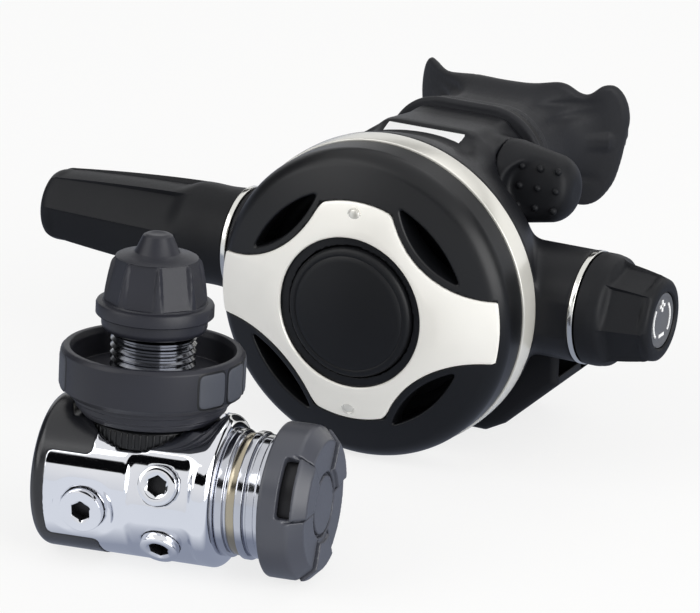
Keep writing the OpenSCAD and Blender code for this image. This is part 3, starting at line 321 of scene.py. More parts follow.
def finishPiece(name, made, finish, body, node=None, slot=None, sharp=38):
    # Moves a mesh made in millimetres to its stage's place and gives it its finish and its body.
    # A field gives its mesh with normals; any other mesh is mended and made sharp by angle.
    mesh, normals = made if isinstance(made, tuple) else (made, None)
    mesh.name = name
    if normals is None:
        work = bmesh.new()
        work.from_mesh(mesh)
        bmesh.ops.remove_doubles(work, verts=work.verts, dist=1e-4)
        bmesh.ops.dissolve_degenerate(work, edges=work.edges, dist=1e-5)
        bmesh.ops.delete(work, geom=[e for e in work.edges if not e.link_faces], context="EDGES")
        bmesh.ops.recalc_face_normals(work, faces=work.faces)
        work.to_mesh(mesh)
        work.free()
    place = placeOf(body)
    mesh.transform(place)
    mesh.shade_smooth()
    if normals is None:
        mesh.set_sharp_from_angle(angle=math.radians(sharp))
    else:
        turn = np.array(place.to_3x3().normalized())
        mesh.normals_split_custom_set_from_vertices((normals @ turn.T).tolist())
    mesh.materials.clear()
    mesh.materials.append(materials[finish])
    piece = bpy.data.objects.new(name, mesh)
    bpy.context.scene.collection.objects.link(piece)
    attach(piece, body)
    if node:
        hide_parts(node)
    return piece


def meshOf(points, faces):
    mesh = bpy.data.meshes.new("made")
    mesh.from_pydata(np.asarray(points, float).tolist(), [], [list(f) for f in faces])
    return mesh


def gridFaces(rows, columns, closedRows=True):
    # Quads over a grid whose columns close round, and whose rows do so too unless told otherwise.
    i = np.arange(rows if closedRows else rows - 1)[:, None]
    j = np.arange(columns)[None, :]
    nextI, nextJ = (i + 1) % rows, (j + 1) % columns
    quads = [i * columns + j, nextI * columns + j, nextI * columns + nextJ, i * columns + nextJ]
    return np.stack([np.broadcast_to(q, (i.size, j.size)) for q in quads], -1).reshape(-1, 4).tolist()


def joined(meshes):
    work = bmesh.new()
    for mesh in meshes:
        work.from_mesh(mesh)
    mesh = bpy.data.meshes.new("made")
    work.to_mesh(mesh)
    work.free()
    return mesh


def softened(points, reach, steps=4):
    # Each corner of a closed outline becomes a small curve that starts and ends reach away from it.
    points = [np.array(p[:2], float) for p in points]
    result = []
    for i, corner in enumerate(points):
        before, after = points[i - 1] - corner, points[(i + 1) % len(points)] - corner
        a, b = np.linalg.norm(before), np.linalg.norm(after)
        if a < 1e-9 or b < 1e-9 or corner[0] < 1e-6 or abs(np.cross(before / a, after / b)) < 0.08:
            result.append(corner)
            continue
        cut = min(reach, 0.45 * a, 0.45 * b)
        start, end = corner + before / a * cut, corner + after / b * cut
        for k in range(steps + 1):
            t = k / steps
            result.append(start * (1 - t) ** 2 + corner * 2 * t * (1 - t) + end * t * t)
    return np.array(result)


def smoothLoop(points, steps):
    # A closed curve that runs smoothly through its points.
    p = np.array(points, float)
    a, b, c, d = np.roll(p, 1, 0), p, np.roll(p, -1, 0), np.roll(p, -2, 0)
    first, second, third = c - a, 2 * a - 5 * b + 4 * c - d, 3 * b - a - 3 * c + d
    parts = [0.5 * (2 * b + first * t + second * t ** 2 + third * t ** 3) for t in np.arange(steps) / steps]
    return np.stack(parts, 1).reshape(-1, 2)


def lathe(outline, axis, segments=128, shape=None):
    # Turns a closed outline of (radius, along) about an axis; shape may change the radius with the turn.
    outline = np.asarray(outline, float)
    turn = (np.arange(segments) * 2 * math.pi / segments)[:, None]
    radius, along = outline[None, :, 0], outline[None, :, 1]
    radius = radius + 0 * turn if shape is None else shape(turn, radius, along)
    along = along + 0 * turn
    across, upward = radius * np.cos(turn), radius * np.sin(turn)
    order = {"x": (along, across, upward), "y": (across, along, upward), "z": (across, upward, along)}[axis]
    return meshOf(np.stack(order, -1).reshape(-1, 3), gridFaces(segments, len(outline)))


def torus(ring, thick, at, axis, segments=64, points=14):
    turns = np.linspace(0, 2 * math.pi, points + 1)[:-1]
    return lathe([(ring + thick * math.cos(a), at + thick * math.sin(a)) for a in turns], axis, segments)


# Fields are distances in millimetres, negative inside a shape; they are joined softly and meshed on a grid.

def joinSoft(a, b, k):
    h = np.clip(0.5 + 0.5 * (b - a) / k, 0, 1)
    return b + (a - b) * h - k * h * (1 - h)


def meetSoft(a, b, k):
    return -joinSoft(-a, -b, k)


def cutSoft(a, b, k):
    return -joinSoft(-a, b, k)


def join(first, *others):
    for one in others:
        first = np.minimum(first, one)
    return first


def meet(first, *others):
    for one in others:
        first = np.maximum(first, one)
    return first


def slab(v, low, high):
    return np.maximum(low - v, v - high)


def pillar(u, v, radius):
    return np.sqrt(u * u + v * v) - radius


def edged(a, b, r):
    # Two distances meet in an edge of radius r.
    u, v = a + r, b + r
    return np.minimum(np.maximum(u, v), 0) + np.sqrt(np.maximum(u, 0) ** 2 + np.maximum(v, 0) ** 2) - r


def ovalField(u, v, radius, half):
    return np.sqrt(np.maximum(np.abs(u) - half, 0) ** 2 + v * v) - radius


def sloped(y, z, line):
    # How far a point lies above a line that starts at (fromY, fromZ) and climbs by rise for each run.
    fromY, fromZ, run, rise, length = line
    return ((z - fromZ) * run - (y - fromY) * rise) / length


def outlineField(u, v, outline):
    outline = np.asarray(outline, np.float32)
    shape = np.broadcast_shapes(np.shape(u), np.shape(v))
    nearest, inside = np.full(shape, 1e9, np.float32), np.zeros(shape, bool)
    for (au, av), (bu, bv) in zip(outline, np.roll(outline, -1, 0)):
        eu, ev = bu - au, bv - av
        wu, wv = u - au, v - av
        t = np.clip((wu * eu + wv * ev) / (eu * eu + ev * ev + 1e-9), 0, 1)
        nearest = np.minimum(nearest, (wu - eu * t) ** 2 + (wv - ev * t) ** 2)
        if ev:
            inside ^= ((av > v) != (bv > v)) & (u < au + eu * (v - av) / ev)
    return np.where(inside, -1, 1) * np.sqrt(nearest)


def netOf(field, low, high, step):
    # A point in each cell of a grid that the surface crosses, and a quad across each edge that it crosses.
    axes = [np.arange(a, b + step, step, dtype=np.float32) for a, b in zip(low, high)]
    x, y, z = np.meshgrid(*axes, indexing="ij", sparse=True)
    size = tuple(len(a) for a in axes)
    value = np.ascontiguousarray(np.broadcast_to(field(x, y, z), size))
    inside = value < 0
    corners = [(i, j, k) for i in (0, 1) for j in (0, 1) for k in (0, 1)]
    count = sum(inside[i:size[0] - 1 + i, j:size[1] - 1 + j, k:size[2] - 1 + k].astype(np.int8) for i, j, k in corners)
    active = (count > 0) & (count < len(corners))
    cells = np.argwhere(active)
    index = np.full(active.shape, -1, np.int64)
    index[active] = np.arange(len(cells))
    total, hits = np.zeros((len(cells), 3)), np.zeros((len(cells), 1))
    for a in corners:
        for axis in range(3):
            if a[axis]:
                continue
            b = tuple(1 if n == axis else a[n] for n in range(3))
            va = value[tuple((cells + a).T)].astype(float)
            vb = value[tuple((cells + b).T)].astype(float)
            crossing = (va < 0) != (vb < 0)
            t = np.where(crossing, va / np.where(crossing, va - vb, 1), 0)
            spot = np.array(a, float)[None, :] + (np.array(b) - np.array(a))[None, :] * t[:, None]
            total += spot * crossing[:, None]
            hits += crossing[:, None]
    points = np.array(low) + (cells + total / hits) * step
    faces, shift = [], np.eye(3, dtype=int)
    for axis in range(3):
        u, v = [n for n in range(3) if n != axis]
        change = np.diff(inside.astype(np.int8), axis=axis)
        spots = np.argwhere(change != 0)
        within = (spots[:, [u, v]] > 0).all(1) & (spots[:, u] < size[u] - 1) & (spots[:, v] < size[v] - 1)
        spots = spots[within]
        around = ((0, 0), (1, 0), (1, 1), (0, 1))
        quad = np.stack([index[tuple((spots - shift[u] * m - shift[v] * n).T)] for m, n in around], -1)
        flip = (change[tuple(spots.T)] > 0) ^ (axis == 1)
        faces.append(np.where(flip[:, None], quad[:, ::-1], quad))
    return points, np.concatenate(faces)


def slopeOf(field, p, small):
    shifts = np.eye(3)[:, :, None] * small
    return np.stack([(field(*(p + d)) - field(*(p - d))) / (2 * small) for d in shifts], -1)


def fieldMesh(field, low, high, step, pulls=3, calm=0):
    # A net of quads over the surface where the field is zero, pulled onto it; gives the mesh and its normals.
    points, faces = netOf(field, low, high, step)
    small, furthest = step * 0.1, step * 0.6
    for _ in range(pulls):
        p = points.T
        slope = slopeOf(field, p, small)
        length = np.maximum((slope ** 2).sum(-1), 0.05)
        points -= slope * np.clip(field(*p) / length, -furthest, furthest)[:, None]
    slope = slopeOf(field, points.T, small)
    normals = slope / np.maximum(np.linalg.norm(slope, axis=1, keepdims=True), 1e-6)
    for _ in range(calm):
        # Each normal takes the mean of its faces, so that a mirror finish shows no steps at the edges.
        mean, total = normals[faces].mean(1), np.zeros_like(normals)
        for corner in range(4):
            np.add.at(total, faces[:, corner], mean)
        normals = total / np.maximum(np.linalg.norm(total, axis=1, keepdims=True), 1e-6)
    return meshOf(points, faces.tolist()), normals


def newTree(name, sockets):
    tree = bpy.data.node_groups.new(name, "GeometryNodeTree")
    tree.is_modifier = True
    for label, kind in sockets.items():
        tree.interface.new_socket(label, in_out="INPUT", socket_type=f"NodeSocket{kind}")
    tree.interface.new_socket("Geometry", in_out="OUTPUT", socket_type="NodeSocketGeometry")
    return tree, addNode(tree, "NodeGroupInput").outputs


def finishTree(tree, geometry, given):
    real = addNode(tree, "GeometryNodeRealizeInstances", {"Geometry": geometry})
    finished = addNode(tree, "GeometryNodeSetMaterial", {"Geometry": real.outputs[0], "Material": given["Material"]})
    addNode(tree, "NodeGroupOutput", {"Geometry": finished.outputs[0]})
    return tree


def makeRingTree():
    # Copies of one shape round the Z axis, each turned to face outwards.
    tree, given = newTree("ring of copies", {"Unit": "Object", "Count": "Int", "Start": "Float", "Step": "Float",
        "Radius": "Float", "Material": "Material"})
    line = addNode(tree, "GeometryNodeMeshLine", {"Count": given["Count"], "Offset": (0, 0, 0)})
    number = addNode(tree, "GeometryNodeInputIndex").outputs[0]
    angle = addNode(tree, "ShaderNodeMath", {0: number, 1: given["Step"], 2: given["Start"]},
        operation="MULTIPLY_ADD").outputs[0]
    spot = {}
    for axis, part in (("X", "COSINE"), ("Y", "SINE")):
        share = addNode(tree, "ShaderNodeMath", {0: angle}, operation=part)
        spot[axis] = addNode(tree, "ShaderNodeMath", {0: share.outputs[0], 1: given["Radius"]},
            operation="MULTIPLY").outputs[0]
    place = addNode(tree, "ShaderNodeCombineXYZ", spot)
    placed = addNode(tree, "GeometryNodeSetPosition", {"Geometry": line.outputs[0], "Position": place.outputs[0]})
    turn = addNode(tree, "ShaderNodeCombineXYZ", {"Z": angle})
    unit = addNode(tree, "GeometryNodeObjectInfo", {"Object": given["Unit"]})
    copies = addNode(tree, "GeometryNodeInstanceOnPoints",
        {"Points": placed.outputs[0], "Instance": unit.outputs["Geometry"], "Rotation": turn.outputs[0]})
    return finishTree(tree, copies.outputs[0], given)


def makeGridTree():
    # Copies of one shape in rows and columns in the XY plane.
    tree, given = newTree("grid of copies", {"Unit": "Object", "Across": "Int", "Down": "Int", "Pitch": "Float",
        "Material": "Material"})
    shape = {}
    for axis, label in (("X", "Across"), ("Y", "Down")):
        gaps = addNode(tree, "ShaderNodeMath", {0: given[label], 1: -1.0}, operation="ADD")
        shape[f"Size {axis}"] = addNode(tree, "ShaderNodeMath", {0: gaps.outputs[0], 1: given["Pitch"]},
            operation="MULTIPLY").outputs[0]
        shape[f"Vertices {axis}"] = given[label]
    grid = addNode(tree, "GeometryNodeMeshGrid", shape)
    unit = addNode(tree, "GeometryNodeObjectInfo", {"Object": given["Unit"]})
    copies = addNode(tree, "GeometryNodeInstanceOnPoints",
        {"Points": grid.outputs[0], "Instance": unit.outputs["Geometry"]})
    return finishTree(tree, copies.outputs[0], given)


def makeCoilTree():
    # A wire along a helix, for springs and for the thread's ridge.
    tree, given = newTree("coil", {"Turns": "Float", "Radius": "Float", "Length": "Float", "Wire": "Float",
        "Sides": "Int", "Steps": "Int", "Material": "Material"})
    helix = addNode(tree, "GeometryNodeCurveSpiral", {"Resolution": given["Steps"], "Rotations": given["Turns"],
        "Start Radius": given["Radius"], "End Radius": given["Radius"], "Height": given["Length"]})
    level = addNode(tree, "GeometryNodeSetCurveNormal", {"Curve": helix.outputs[0]}, mode="Z_UP")
    wire = addNode(tree, "GeometryNodeCurvePrimitiveCircle", {"Resolution": given["Sides"], "Radius": given["Wire"]})
    tube = addNode(tree, "GeometryNodeCurveToMesh",
        {"Curve": level.outputs[0], "Profile Curve": wire.outputs[0], "Fill Caps": True})
    return finishTree(tree, tube.outputs[0], given)


def grown(tree, finish, values, unit=None):
    # Runs a tree and keeps its result as a plain mesh; unit is the mesh that the tree copies.
    holder = bpy.data.objects.new("holder", bpy.data.meshes.new("holder"))
    objects = [holder]
    values = {**values, "Material": materials[finish]}
    if unit:
        values["Unit"] = bpy.data.objects.new("unit", unit)
        objects.append(values["Unit"])
    for one in objects:
        bpy.context.scene.collection.objects.link(one)
    modifier = holder.modifiers.new("tree", "NODES")
    modifier.node_group = tree
    for item in tree.interface.items_tree:
        if item.item_type == "SOCKET" and item.in_out == "INPUT":
            modifier[item.identifier] = values[item.name]
    graph = bpy.context.evaluated_depsgraph_get()
    mesh = bpy.data.meshes.new_from_object(holder.evaluated_get(graph), depsgraph=graph)
    holder.modifiers.remove(modifier)
    for one in objects:
        bpy.data.objects.remove(one)
    return mesh


ringTree, gridTree, coilTree = makeRingTree(), makeGridTree(), makeCoilTree()
print("trees ready")

# Ring and cover: both follow one dome, whose crown is 43 mm in front of the cross tube.
ring = {"inner": 42.1, "outer": 45.5, "front": -22.7, "back": -15.2, "edge": 0.5, "crown": 0.14}
cover = {"crown": 43.0, "domeRadius": 118.0, "domeEnd": 60, "faceBack": 0.1, "radius": 44.9, "edge": 4.0,
    "back": -22.75, "wall": 2.4, "sideWall": 3.4, "innerEdge": 2, "window": 34.3, "windowTip": 1.0, "windowEdge": 0.7,
    "lip": 2.2, "skirtWall": 1.2, "skirtEnd": -31.5, "cutAt": 41.25, "cutRadius": 32.2, "topArm": 31.8,
    "sideArm": 43.2, "sideArmHalf": 13, "recess": 0.14, "guide": 19.2, "guideEnd": -31.77, "hole": 21.8,
    "floor": -39.57, "shelf": -33.17, "shelfRadius": 12.5, "step": 0.55}
plate = {"thick": 0.8, "bevel": 0.35, "roll": 0.55, "rollWidth": 0.7, "corner": 2.4, "steps": 720}
screw = {"radius": 2.1, "at": 28.3, "proud": 0.3, "length": 2.6, "play": 0.1}
button = {"radius": 18.9, "lift": 0.4, "rim": 1.5, "groove": 16.7, "grooveDepth": 0.22, "skirt": -37.97, "wall": 1.6,
    "back": -40.17, "post": 3.0, "postEnd": -22.65}


def domeAt(r):
    return -cover["crown"] + cover["domeRadius"] - np.sqrt(cover["domeRadius"] ** 2 - r * r)


def makeRing():
    s = ring
    middle, half = (s["front"] + s["back"]) / 2, (s["back"] - s["front"]) / 2
    along = np.linspace(s["front"], s["back"], 13)
    crown = [(s["outer"] - s["crown"] * ((y - middle) / half) ** 2, y) for y in along]
    outline = softened([(s["inner"], s["front"])] + crown + [(s["inner"], s["back"])], s["edge"])
    finishPiece("coverRing", lathe(outline, "y", 256), "satinSteel", "second_stage", "cover_ring", "polished_steel")


def armCorner(x, z):
    return np.sqrt((np.abs(x) - cover["cutAt"]) ** 2 + (np.abs(z) - cover["cutAt"]) ** 2)


def plateField(x, z):
    c, r = cover, np.sqrt(x * x + z * z)
    arms = join(r - c["topArm"], meet(r - c["sideArm"], np.abs(z) - c["sideArmHalf"]))
    return meet(arms, c["cutRadius"] - armCorner(x, z))


def coverField(x, y, z):
    c = cover
    r = np.sqrt(x * x + z * z)
    dome = domeAt(np.minimum(r, c["domeEnd"]))
    lean = np.sqrt(np.maximum(c["domeRadius"] ** 2 - r * r, 1)) / c["domeRadius"]
    face = (dome + c["faceBack"] - y) * lean
    outer = meet(edged(face, r - c["radius"], c["edge"]), y - c["back"])
    cavity = edged((dome + c["wall"] - y) * lean, r - c["radius"] + c["sideWall"], c["innerEdge"])
    # Each window is a lens between the rim and one corner's arc; a skirt runs inwards round it.
    window = edged(r - c["window"], armCorner(x, z) - c["cutRadius"] + c["lip"], c["windowTip"])
    skirt = meet(window - c["skirtWall"], y - c["skirtEnd"], face)
    guide = meet(r - c["hole"] + play, y - c["guideEnd"], c["floor"] - y)
    solid = join(meet(outer, -cavity), skirt, guide)
    solid = edged(solid, -window, c["windowEdge"])
    solid = meet(solid, -meet(plateField(x, z) - c["recess"], y - dome - plate["thick"] - play))
    solid = meet(solid, -meet(r - c["hole"] + play, y - c["floor"]), -meet(r - c["guide"], y - c["shelf"]))
    screws = np.sqrt(x * x + (np.abs(z) - screw["at"]) ** 2)
    return meet(solid, c["shelfRadius"] - r, screw["radius"] + screw["play"] - screws)


def makeCover():
    reach = cover["radius"] + 1.2
    made = fieldMesh(coverField, (-reach, -44.2, -reach), (reach, -21.5, reach), cover["step"])
    finishPiece("frontCover", made, "satinNylon", "second_stage", "front_cover", "cover_plastic")


def makePlate():
    # The plate is drawn out from its round hole to an outline of four arms, all at once.
    s, hole = plate, cover["hole"]
    turn = np.arange(s["steps"]) * 2 * math.pi / s["steps"]
    across, upward = np.abs(np.cos(turn)), np.abs(np.sin(turn))
    # Along each ray the nearer of two ends counts: the corner's arc, or the round of the arm's tip.
    b = cover["cutAt"] * (across + upward)
    inside = b * b - 2 * cover["cutAt"] ** 2 + cover["cutRadius"] ** 2
    arc = np.where(inside > 0, b - np.sqrt(np.maximum(inside, 0)), 99)
    edge = joinSoft(arc, np.where(upward > across, cover["topArm"], cover["sideArm"]), s["corner"])
    flat, bevel = hole + s["rollWidth"], s["bevel"]
    rolled = [(hole, 1), (hole + 0.1, 0.55), (hole + 0.3, 0.2), (flat, 0)]
    columns = [(np.full_like(edge, r), s["roll"] * share) for r, share in rolled]
    columns += [(flat + (edge - bevel * 2 - flat) * t, 0.0) for t in (0.25, 0.5, 0.75, 1.0)]
    columns += [(edge - bevel, 0.03), (edge - bevel * 0.3, bevel * 0.35), (edge, bevel)]
    columns += [(edge, s["thick"]), (np.full_like(edge, hole), s["thick"])]
    points = [np.stack((r * np.cos(turn), domeAt(r) + depth, r * np.sin(turn)), -1) for r, depth in columns]
    mesh = meshOf(np.stack(points, 1).reshape(-1, 3), gridFaces(s["steps"], len(columns)))
    finishPiece("coverPlate", mesh, "brushedPlate", "second_stage", "cover_plate", "polished_steel", sharp=30)


def makeScrews():
    # Two pins with a turned groove round a domed head; they hold the plate to the cover.
    s = screw
    front = -float(domeAt(s["at"]))
    head = ((0, 1), (0.35, 0.88), (0.6, 0.6), (0.74, 0.25), (0.8, -0.3), (0.88, 0), (0.97, -0.2), (1, -0.7))
    outline = [(s["radius"] * share, front + s["proud"] * rise) for share, rise in head]
    outline += [(s["radius"], front - s["length"]), (0, front - s["length"])]
    values = {"Count": 2, "Start": math.pi / 2, "Step": math.pi, "Radius": s["at"]}
    mesh = grown(ringTree, "satinSteel", values, lathe(outline, "z", 40))
    mesh.transform(Matrix.Rotation(math.pi / 2, 4, "X"))
    finishPiece("plateScrews", mesh, "satinSteel", "second_stage", "plate_screws", "polished_steel")


def makeButton():
    # A shallow dome with a fine groove inside its rim; the face is bare.
    s = button

    def faceAt(r):
        return float(domeAt(r)) + s["lift"]

    face = [(r, faceAt(r)) for r in (0, 3, 6, 9, 12, 15, s["groove"] - 0.5)]
    groove = [(s["groove"] - 0.12, faceAt(s["groove"]) + s["grooveDepth"]), (s["groove"] + 0.3, faceAt(s["groove"]))]
    start = s["radius"] - s["rim"]
    turns = np.linspace(0, math.pi / 2, 8)
    rim = [(start + s["rim"] * math.sin(a), faceAt(start) + s["rim"] * (1 - math.cos(a))) for a in turns]
    inside = s["radius"] - s["wall"]
    back = [(s["radius"], s["skirt"]), (inside, s["skirt"]), (inside, s["back"]), (s["post"], s["back"]),
        (s["post"], s["postEnd"]), (0, s["postEnd"])]
    mesh = lathe(face + groove + rim + back, "y", 160)
    finishPiece("purgeButton", mesh, "buttonRubber", "purge_button", "purge_button", "button_plastic", sharp=50)


# What shows through the windows: the folded diaphragm, its slip ring and the metal disc; and the exhaust flap.
soft = {"fold": 33.25, "wide": 2.2, "narrow": 1.5, "front": -20.95, "thick": 0.7, "thin": 0.25, "skirt": -16.9,
    "rimInner": 38.25, "rimOuter": 41.95, "rimFront": -21.55, "rimBack": -19.45, "slipFront": -22.65, "slipBack": -21.6,
    # The middle sheet's hem, from its edge inwards; then the outlines of the disc and the flap.
    "hem": (5, 6),
    "disc": ((0, -22.35), (13.2, -22.35), (13.6, -22.0), (13.6, -21.15), (0, -21.15)),
    "flap": ((0, 22.4), (4, 22.2), (11.9, 21.7), (12, 21.1), (1.5, 21.1), (1.5, 18.5), (2.4, 18.3), (1.2, 16.2),
        (0, 16.2)),
    "flapHeight": -12.5}


def makeSeals():
    # The fold's skirt is there for the diaphragm's middle to slide down as it goes in with the disc.
    s = soft
    fold, wide, narrow, y = s["fold"], s["wide"], s["narrow"], s["front"]
    low, high = s["rimInner"], s["rimOuter"]
    turns, behind = np.linspace(math.pi, 2 * math.pi, 13), y + s["thick"]
    front = [(fold - wide, s["skirt"])] + [(fold + wide * math.cos(a), y + wide * math.sin(a)) for a in turns]
    rim = [(low, s["rimFront"]), (high, s["rimFront"]), (high, s["rimBack"]), (low, s["rimBack"])]
    back = [(fold + narrow * math.cos(a), behind + narrow * math.sin(a)) for a in turns[::-1]]
    mesh = lathe(front + rim + back + [(fold - narrow, s["skirt"])], "y", 96)
    finishPiece("diaphragmSheet", mesh, "silicone", "second_stage", "diaphragm", "diaphragm_silicone")
    reach, thin, (full, faded) = fold - wide - 0.1, y + s["thin"], s["hem"]
    outline = [(0, y), (reach, y), (reach, behind), (reach - full, behind), (reach - faded, thin), (0, thin)]
    finishPiece("diaphragmMiddle", lathe(outline, "y", 96), "silicone", "diaphragm_disc", slot="diaphragm_silicone")
    slip = [(low, s["slipFront"]), (high, s["slipFront"]), (high, s["slipBack"]), (low, s["slipBack"])]
    mesh = lathe(softened(slip, 0.2), "y", 128)
    finishPiece("slipRing", mesh, "satinNylon", "second_stage", "slip_ring", "button_plastic")
    mesh = lathe(s["disc"], "y", 96)
    finishPiece("liftDisc", mesh, "polishedSteel", "diaphragm_disc", "diaphragm_disc", "polished_steel")
    mesh = lathe(softened(s["flap"], 0.15), "y", 64)
    mesh.transform(Matrix.Translation((0, 0, s["flapHeight"])))
    finishPiece("exhaustFlap", mesh, "silicone", "second_stage", "exhaust_valve", "diaphragm_silicone")


makeRing()
makeCover()
makePlate()
makeScrews()
makeButton()
makeSeals()
print("cover, plate and purge button made")

# The case: a bell behind the ring, the cross tube through it, the mouthpiece's neck and hood, the lever's boss.
case = {"bellRadius": 45.2, "bellFront": -15.15, "bellFrom": -14.2, "bellBack": 21.0, "bellEdge": 5.0, "taper": 0.2,
    "curve": 0.009, "wall": 2.76, "backWall": 2.4, "spigot": 42.05, "spigotFront": -19.4, "spigotBack": -14,
    "seal": 38.25, "leftEnd": -52.8, "leftRadius": 15.5, "rightEnd": 55.2, "rightRadius": 16.0, "tubeEdge": 0.5,
    "blend": 2.6, "barrel": 8.55,
    "neckHeight": 26.0, "neckRadius": 16.0, "neckHalf": 8.0, "neckFront": -14, "neckBack": 30.0, "neckWall": 3.7,
    "neckEdge": 1.2, "neckBlend": 3.0, "waist": 1.9, "waistFrom": 8, "waistRun": 14,
    "hoodHalf": 14, "hoodTop": 41.6, "hoodFront": -4, "hoodBack": 29, "hoodEdge": 1.5, "hoodBlend": 2.5,
    # The slopes of the neck and the hood: from (y, z), run, rise and length.
    "neckSlope": (-11, 34.0, 17, 6.6, 18.24), "slopeBack": 6, "hoodSlope": (-4, 37.7, 10, 3.9, 10.73),
    "nozzle": 12.5, "nozzleFront": 25, "nozzleBack": 39.5, "airway": 10.5, "airwayFrom": 27, "airwayTo": 41,
    "leverBack": 16.0, "leverHeight": 27.0, "leverRadius": 12.0, "leverPlay": 0.3, "leverTo": 51, "pin": 3.08,
    "pinTo": 22, "seatRadius": 14.7, "seatFrom": 17.8, "seatTo": 42.2, "seam": 20.2, "seamEdge": 0.4,
    "portRadius": 10.5, "portHeight": -12.5, "portWall": 3.4, "crossHalf": 0.9, "crossHub": 3.2, "crossHole": 1.6,
    "step": 0.8}


def bellField(x, y, z, grow=0.0):
    c = case
    s = np.clip(y - c["bellFrom"], 0, 45)
    radius = c["bellRadius"] - c["taper"] * s - c["curve"] * s * s + grow
    slope = c["taper"] + 2 * c["curve"] * s
    return (np.sqrt(x * x + z * z) - radius) / np.sqrt(1 + slope * slope)


def neckField(x, z, radius):
    return ovalField(x, z - case["neckHeight"], radius, case["neckHalf"])


def caseSolid(x, y, z):
    c = case
    r, tube = np.sqrt(x * x + z * z), np.sqrt(y * y + z * z)
    bell = meet(edged(bellField(x, y, z), y - c["bellBack"], c["bellEdge"]), c["bellFront"] - y)
    left = edged(tube - c["leftRadius"], c["leftEnd"] - x, c["tubeEdge"])
    right = edged(tube - c["rightRadius"], x - c["rightEnd"], c["tubeEdge"])
    tubes = join(meet(left, x), meet(right, -x))
    lever = pillar(y - c["leverBack"], z - c["leverHeight"], c["leverRadius"])
    boss = edged(meet(lever, -x), x - c["seam"], c["seamEdge"])
    # The neck is an oval with a sloped roof in front; the hood over it carries the label.
    waist = c["waist"] * np.clip((y - c["waistFrom"]) / c["waistRun"], 0, 1)
    neck = edged(neckField(x, z, c["neckRadius"] - waist), y - c["neckBack"], c["neckEdge"])
    neck = meet(neck, join(sloped(y, z, c["neckSlope"]), c["slopeBack"] - y), c["neckFront"] - y)
    roof = meet(sloped(y, z, c["hoodSlope"]), z - c["hoodTop"] + waist)
    hood = edged(np.abs(x) - c["hoodHalf"], roof, c["hoodEdge"])
    hood = meetSoft(hood, meet(y - c["hoodBack"], c["hoodFront"] - y, c["neckHeight"] - z), c["neckEdge"])
    solid = joinSoft(joinSoft(bell, tubes, c["blend"]), neck, c["neckBlend"])
    solid = joinSoft(joinSoft(solid, boss, c["hoodBlend"]), hood, c["hoodBlend"])
    # Nothing reaches past the spigot beside the ring, or past the tube's ends.
    solid = meet(solid, join(c["bellFront"] - y, r - c["spigot"]), c["leftEnd"] - x, x - c["rightEnd"])
    spigot = meet(r - c["spigot"], c["spigotFront"] - y, y - c["spigotBack"])
    nozzle = meet(neckField(x, z, c["nozzle"]), c["nozzleFront"] - y, y - c["nozzleBack"])
    return join(solid, spigot, nozzle)


def caseHollow(x, y, z):
    # The air space, the neck, the lever's seat, the airway, the barrel's bore and the exhaust port.
    c = case
    r, tube = np.sqrt(x * x + z * z), np.sqrt(y * y + z * z)
    lever = np.sqrt((y - c["leverBack"]) ** 2 + (z - c["leverHeight"]) ** 2)
    space = meet(bellField(x, y, z, -c["wall"]), r - c["seal"])
    space = meet(space, c["spigotFront"] - 1 - y, y - c["bellBack"] + c["backWall"])
    inNeck = meet(neckField(x, z, c["neckRadius"] - c["neckWall"]), 2 - y, y - c["neckBack"] + 2)
    seat = meet(lever - c["seatRadius"], c["seatFrom"] - x, x - c["seatTo"])
    airway = meet(neckField(x, z, c["airway"]), c["airwayFrom"] - y, y - c["airwayTo"])
    room = meet(lever - c["leverRadius"] - c["leverPlay"], c["seam"] - x, x - c["leverTo"])
    pin = meet(lever - c["pin"], -x, x - c["pinTo"])
    hollow = join(meet(join(space, inNeck), -seat), airway, tube - c["barrel"], room, pin)
    low = z - c["portHeight"]
    cross = join(np.abs(x) - c["crossHalf"], np.abs(low) - c["crossHalf"], pillar(x, low, c["crossHub"]))
    cross = meet(cross, c["crossHole"] - pillar(x, low, 0))
    port = meet(pillar(x, low, c["portRadius"]), -cross, c["bellBack"] - c["portWall"] - y, y - c["bellBack"] - 1)
    return join(hollow, port)


def caseField(x, y, z):
    return meet(caseSolid(x, y, z), -caseHollow(x, y, z))


def makeCase():
    made = fieldMesh(caseField, (-54.2, -20.6, -46.2), (56.6, 40.8, 46.6), case["step"], calm=1)
    finishPiece("caseShell", made, "mouldedNylon", "second_stage", "case", "case_nylon")
    bore = case["barrel"]
    for name, x0, x1, radius, node in (
            ("inletTrim", -54.4, -52.85, 15.9, "inlet_ring"),
            ("knobTrim", 55.25, 56.8, 16.2, "knob_ring")):
        outline = softened([(bore, x0), (radius, x0), (radius, x1), (bore, x1)], 0.25)
        finishPiece(name, lathe(outline, "x"), "polishedSteel", "second_stage", node, "polished_steel")


makeCase()
print("case made")

# The exhaust tee hangs behind the bell and opens to both sides.
tee = {"front": 4.0, "back": 36.0, "half": 44.0, "wall": 2.0, "edge": 2.4, "bottom": -45.5, "gap": 0.3,
    "bellGap": 0.4, "step": 0.8}


def teeOutline(inset=0.0, reach=0.0):
    # From the bottom up one side, then mirrored; inset draws it in by a wall, and reach moves its outlets outwards.
    x, i, low = tee["half"] + reach, inset, tee["bottom"]
    side = [(22, low + i), (28 - i / 2, low + 3.2 + i * 1.2), (x, -27.6 + i * 1.4), (x, -15 - i), (27, -9 - i),
        (17 - i, 4 - i)]
    return [(-a, b) for a, b in side[::-1]] + side


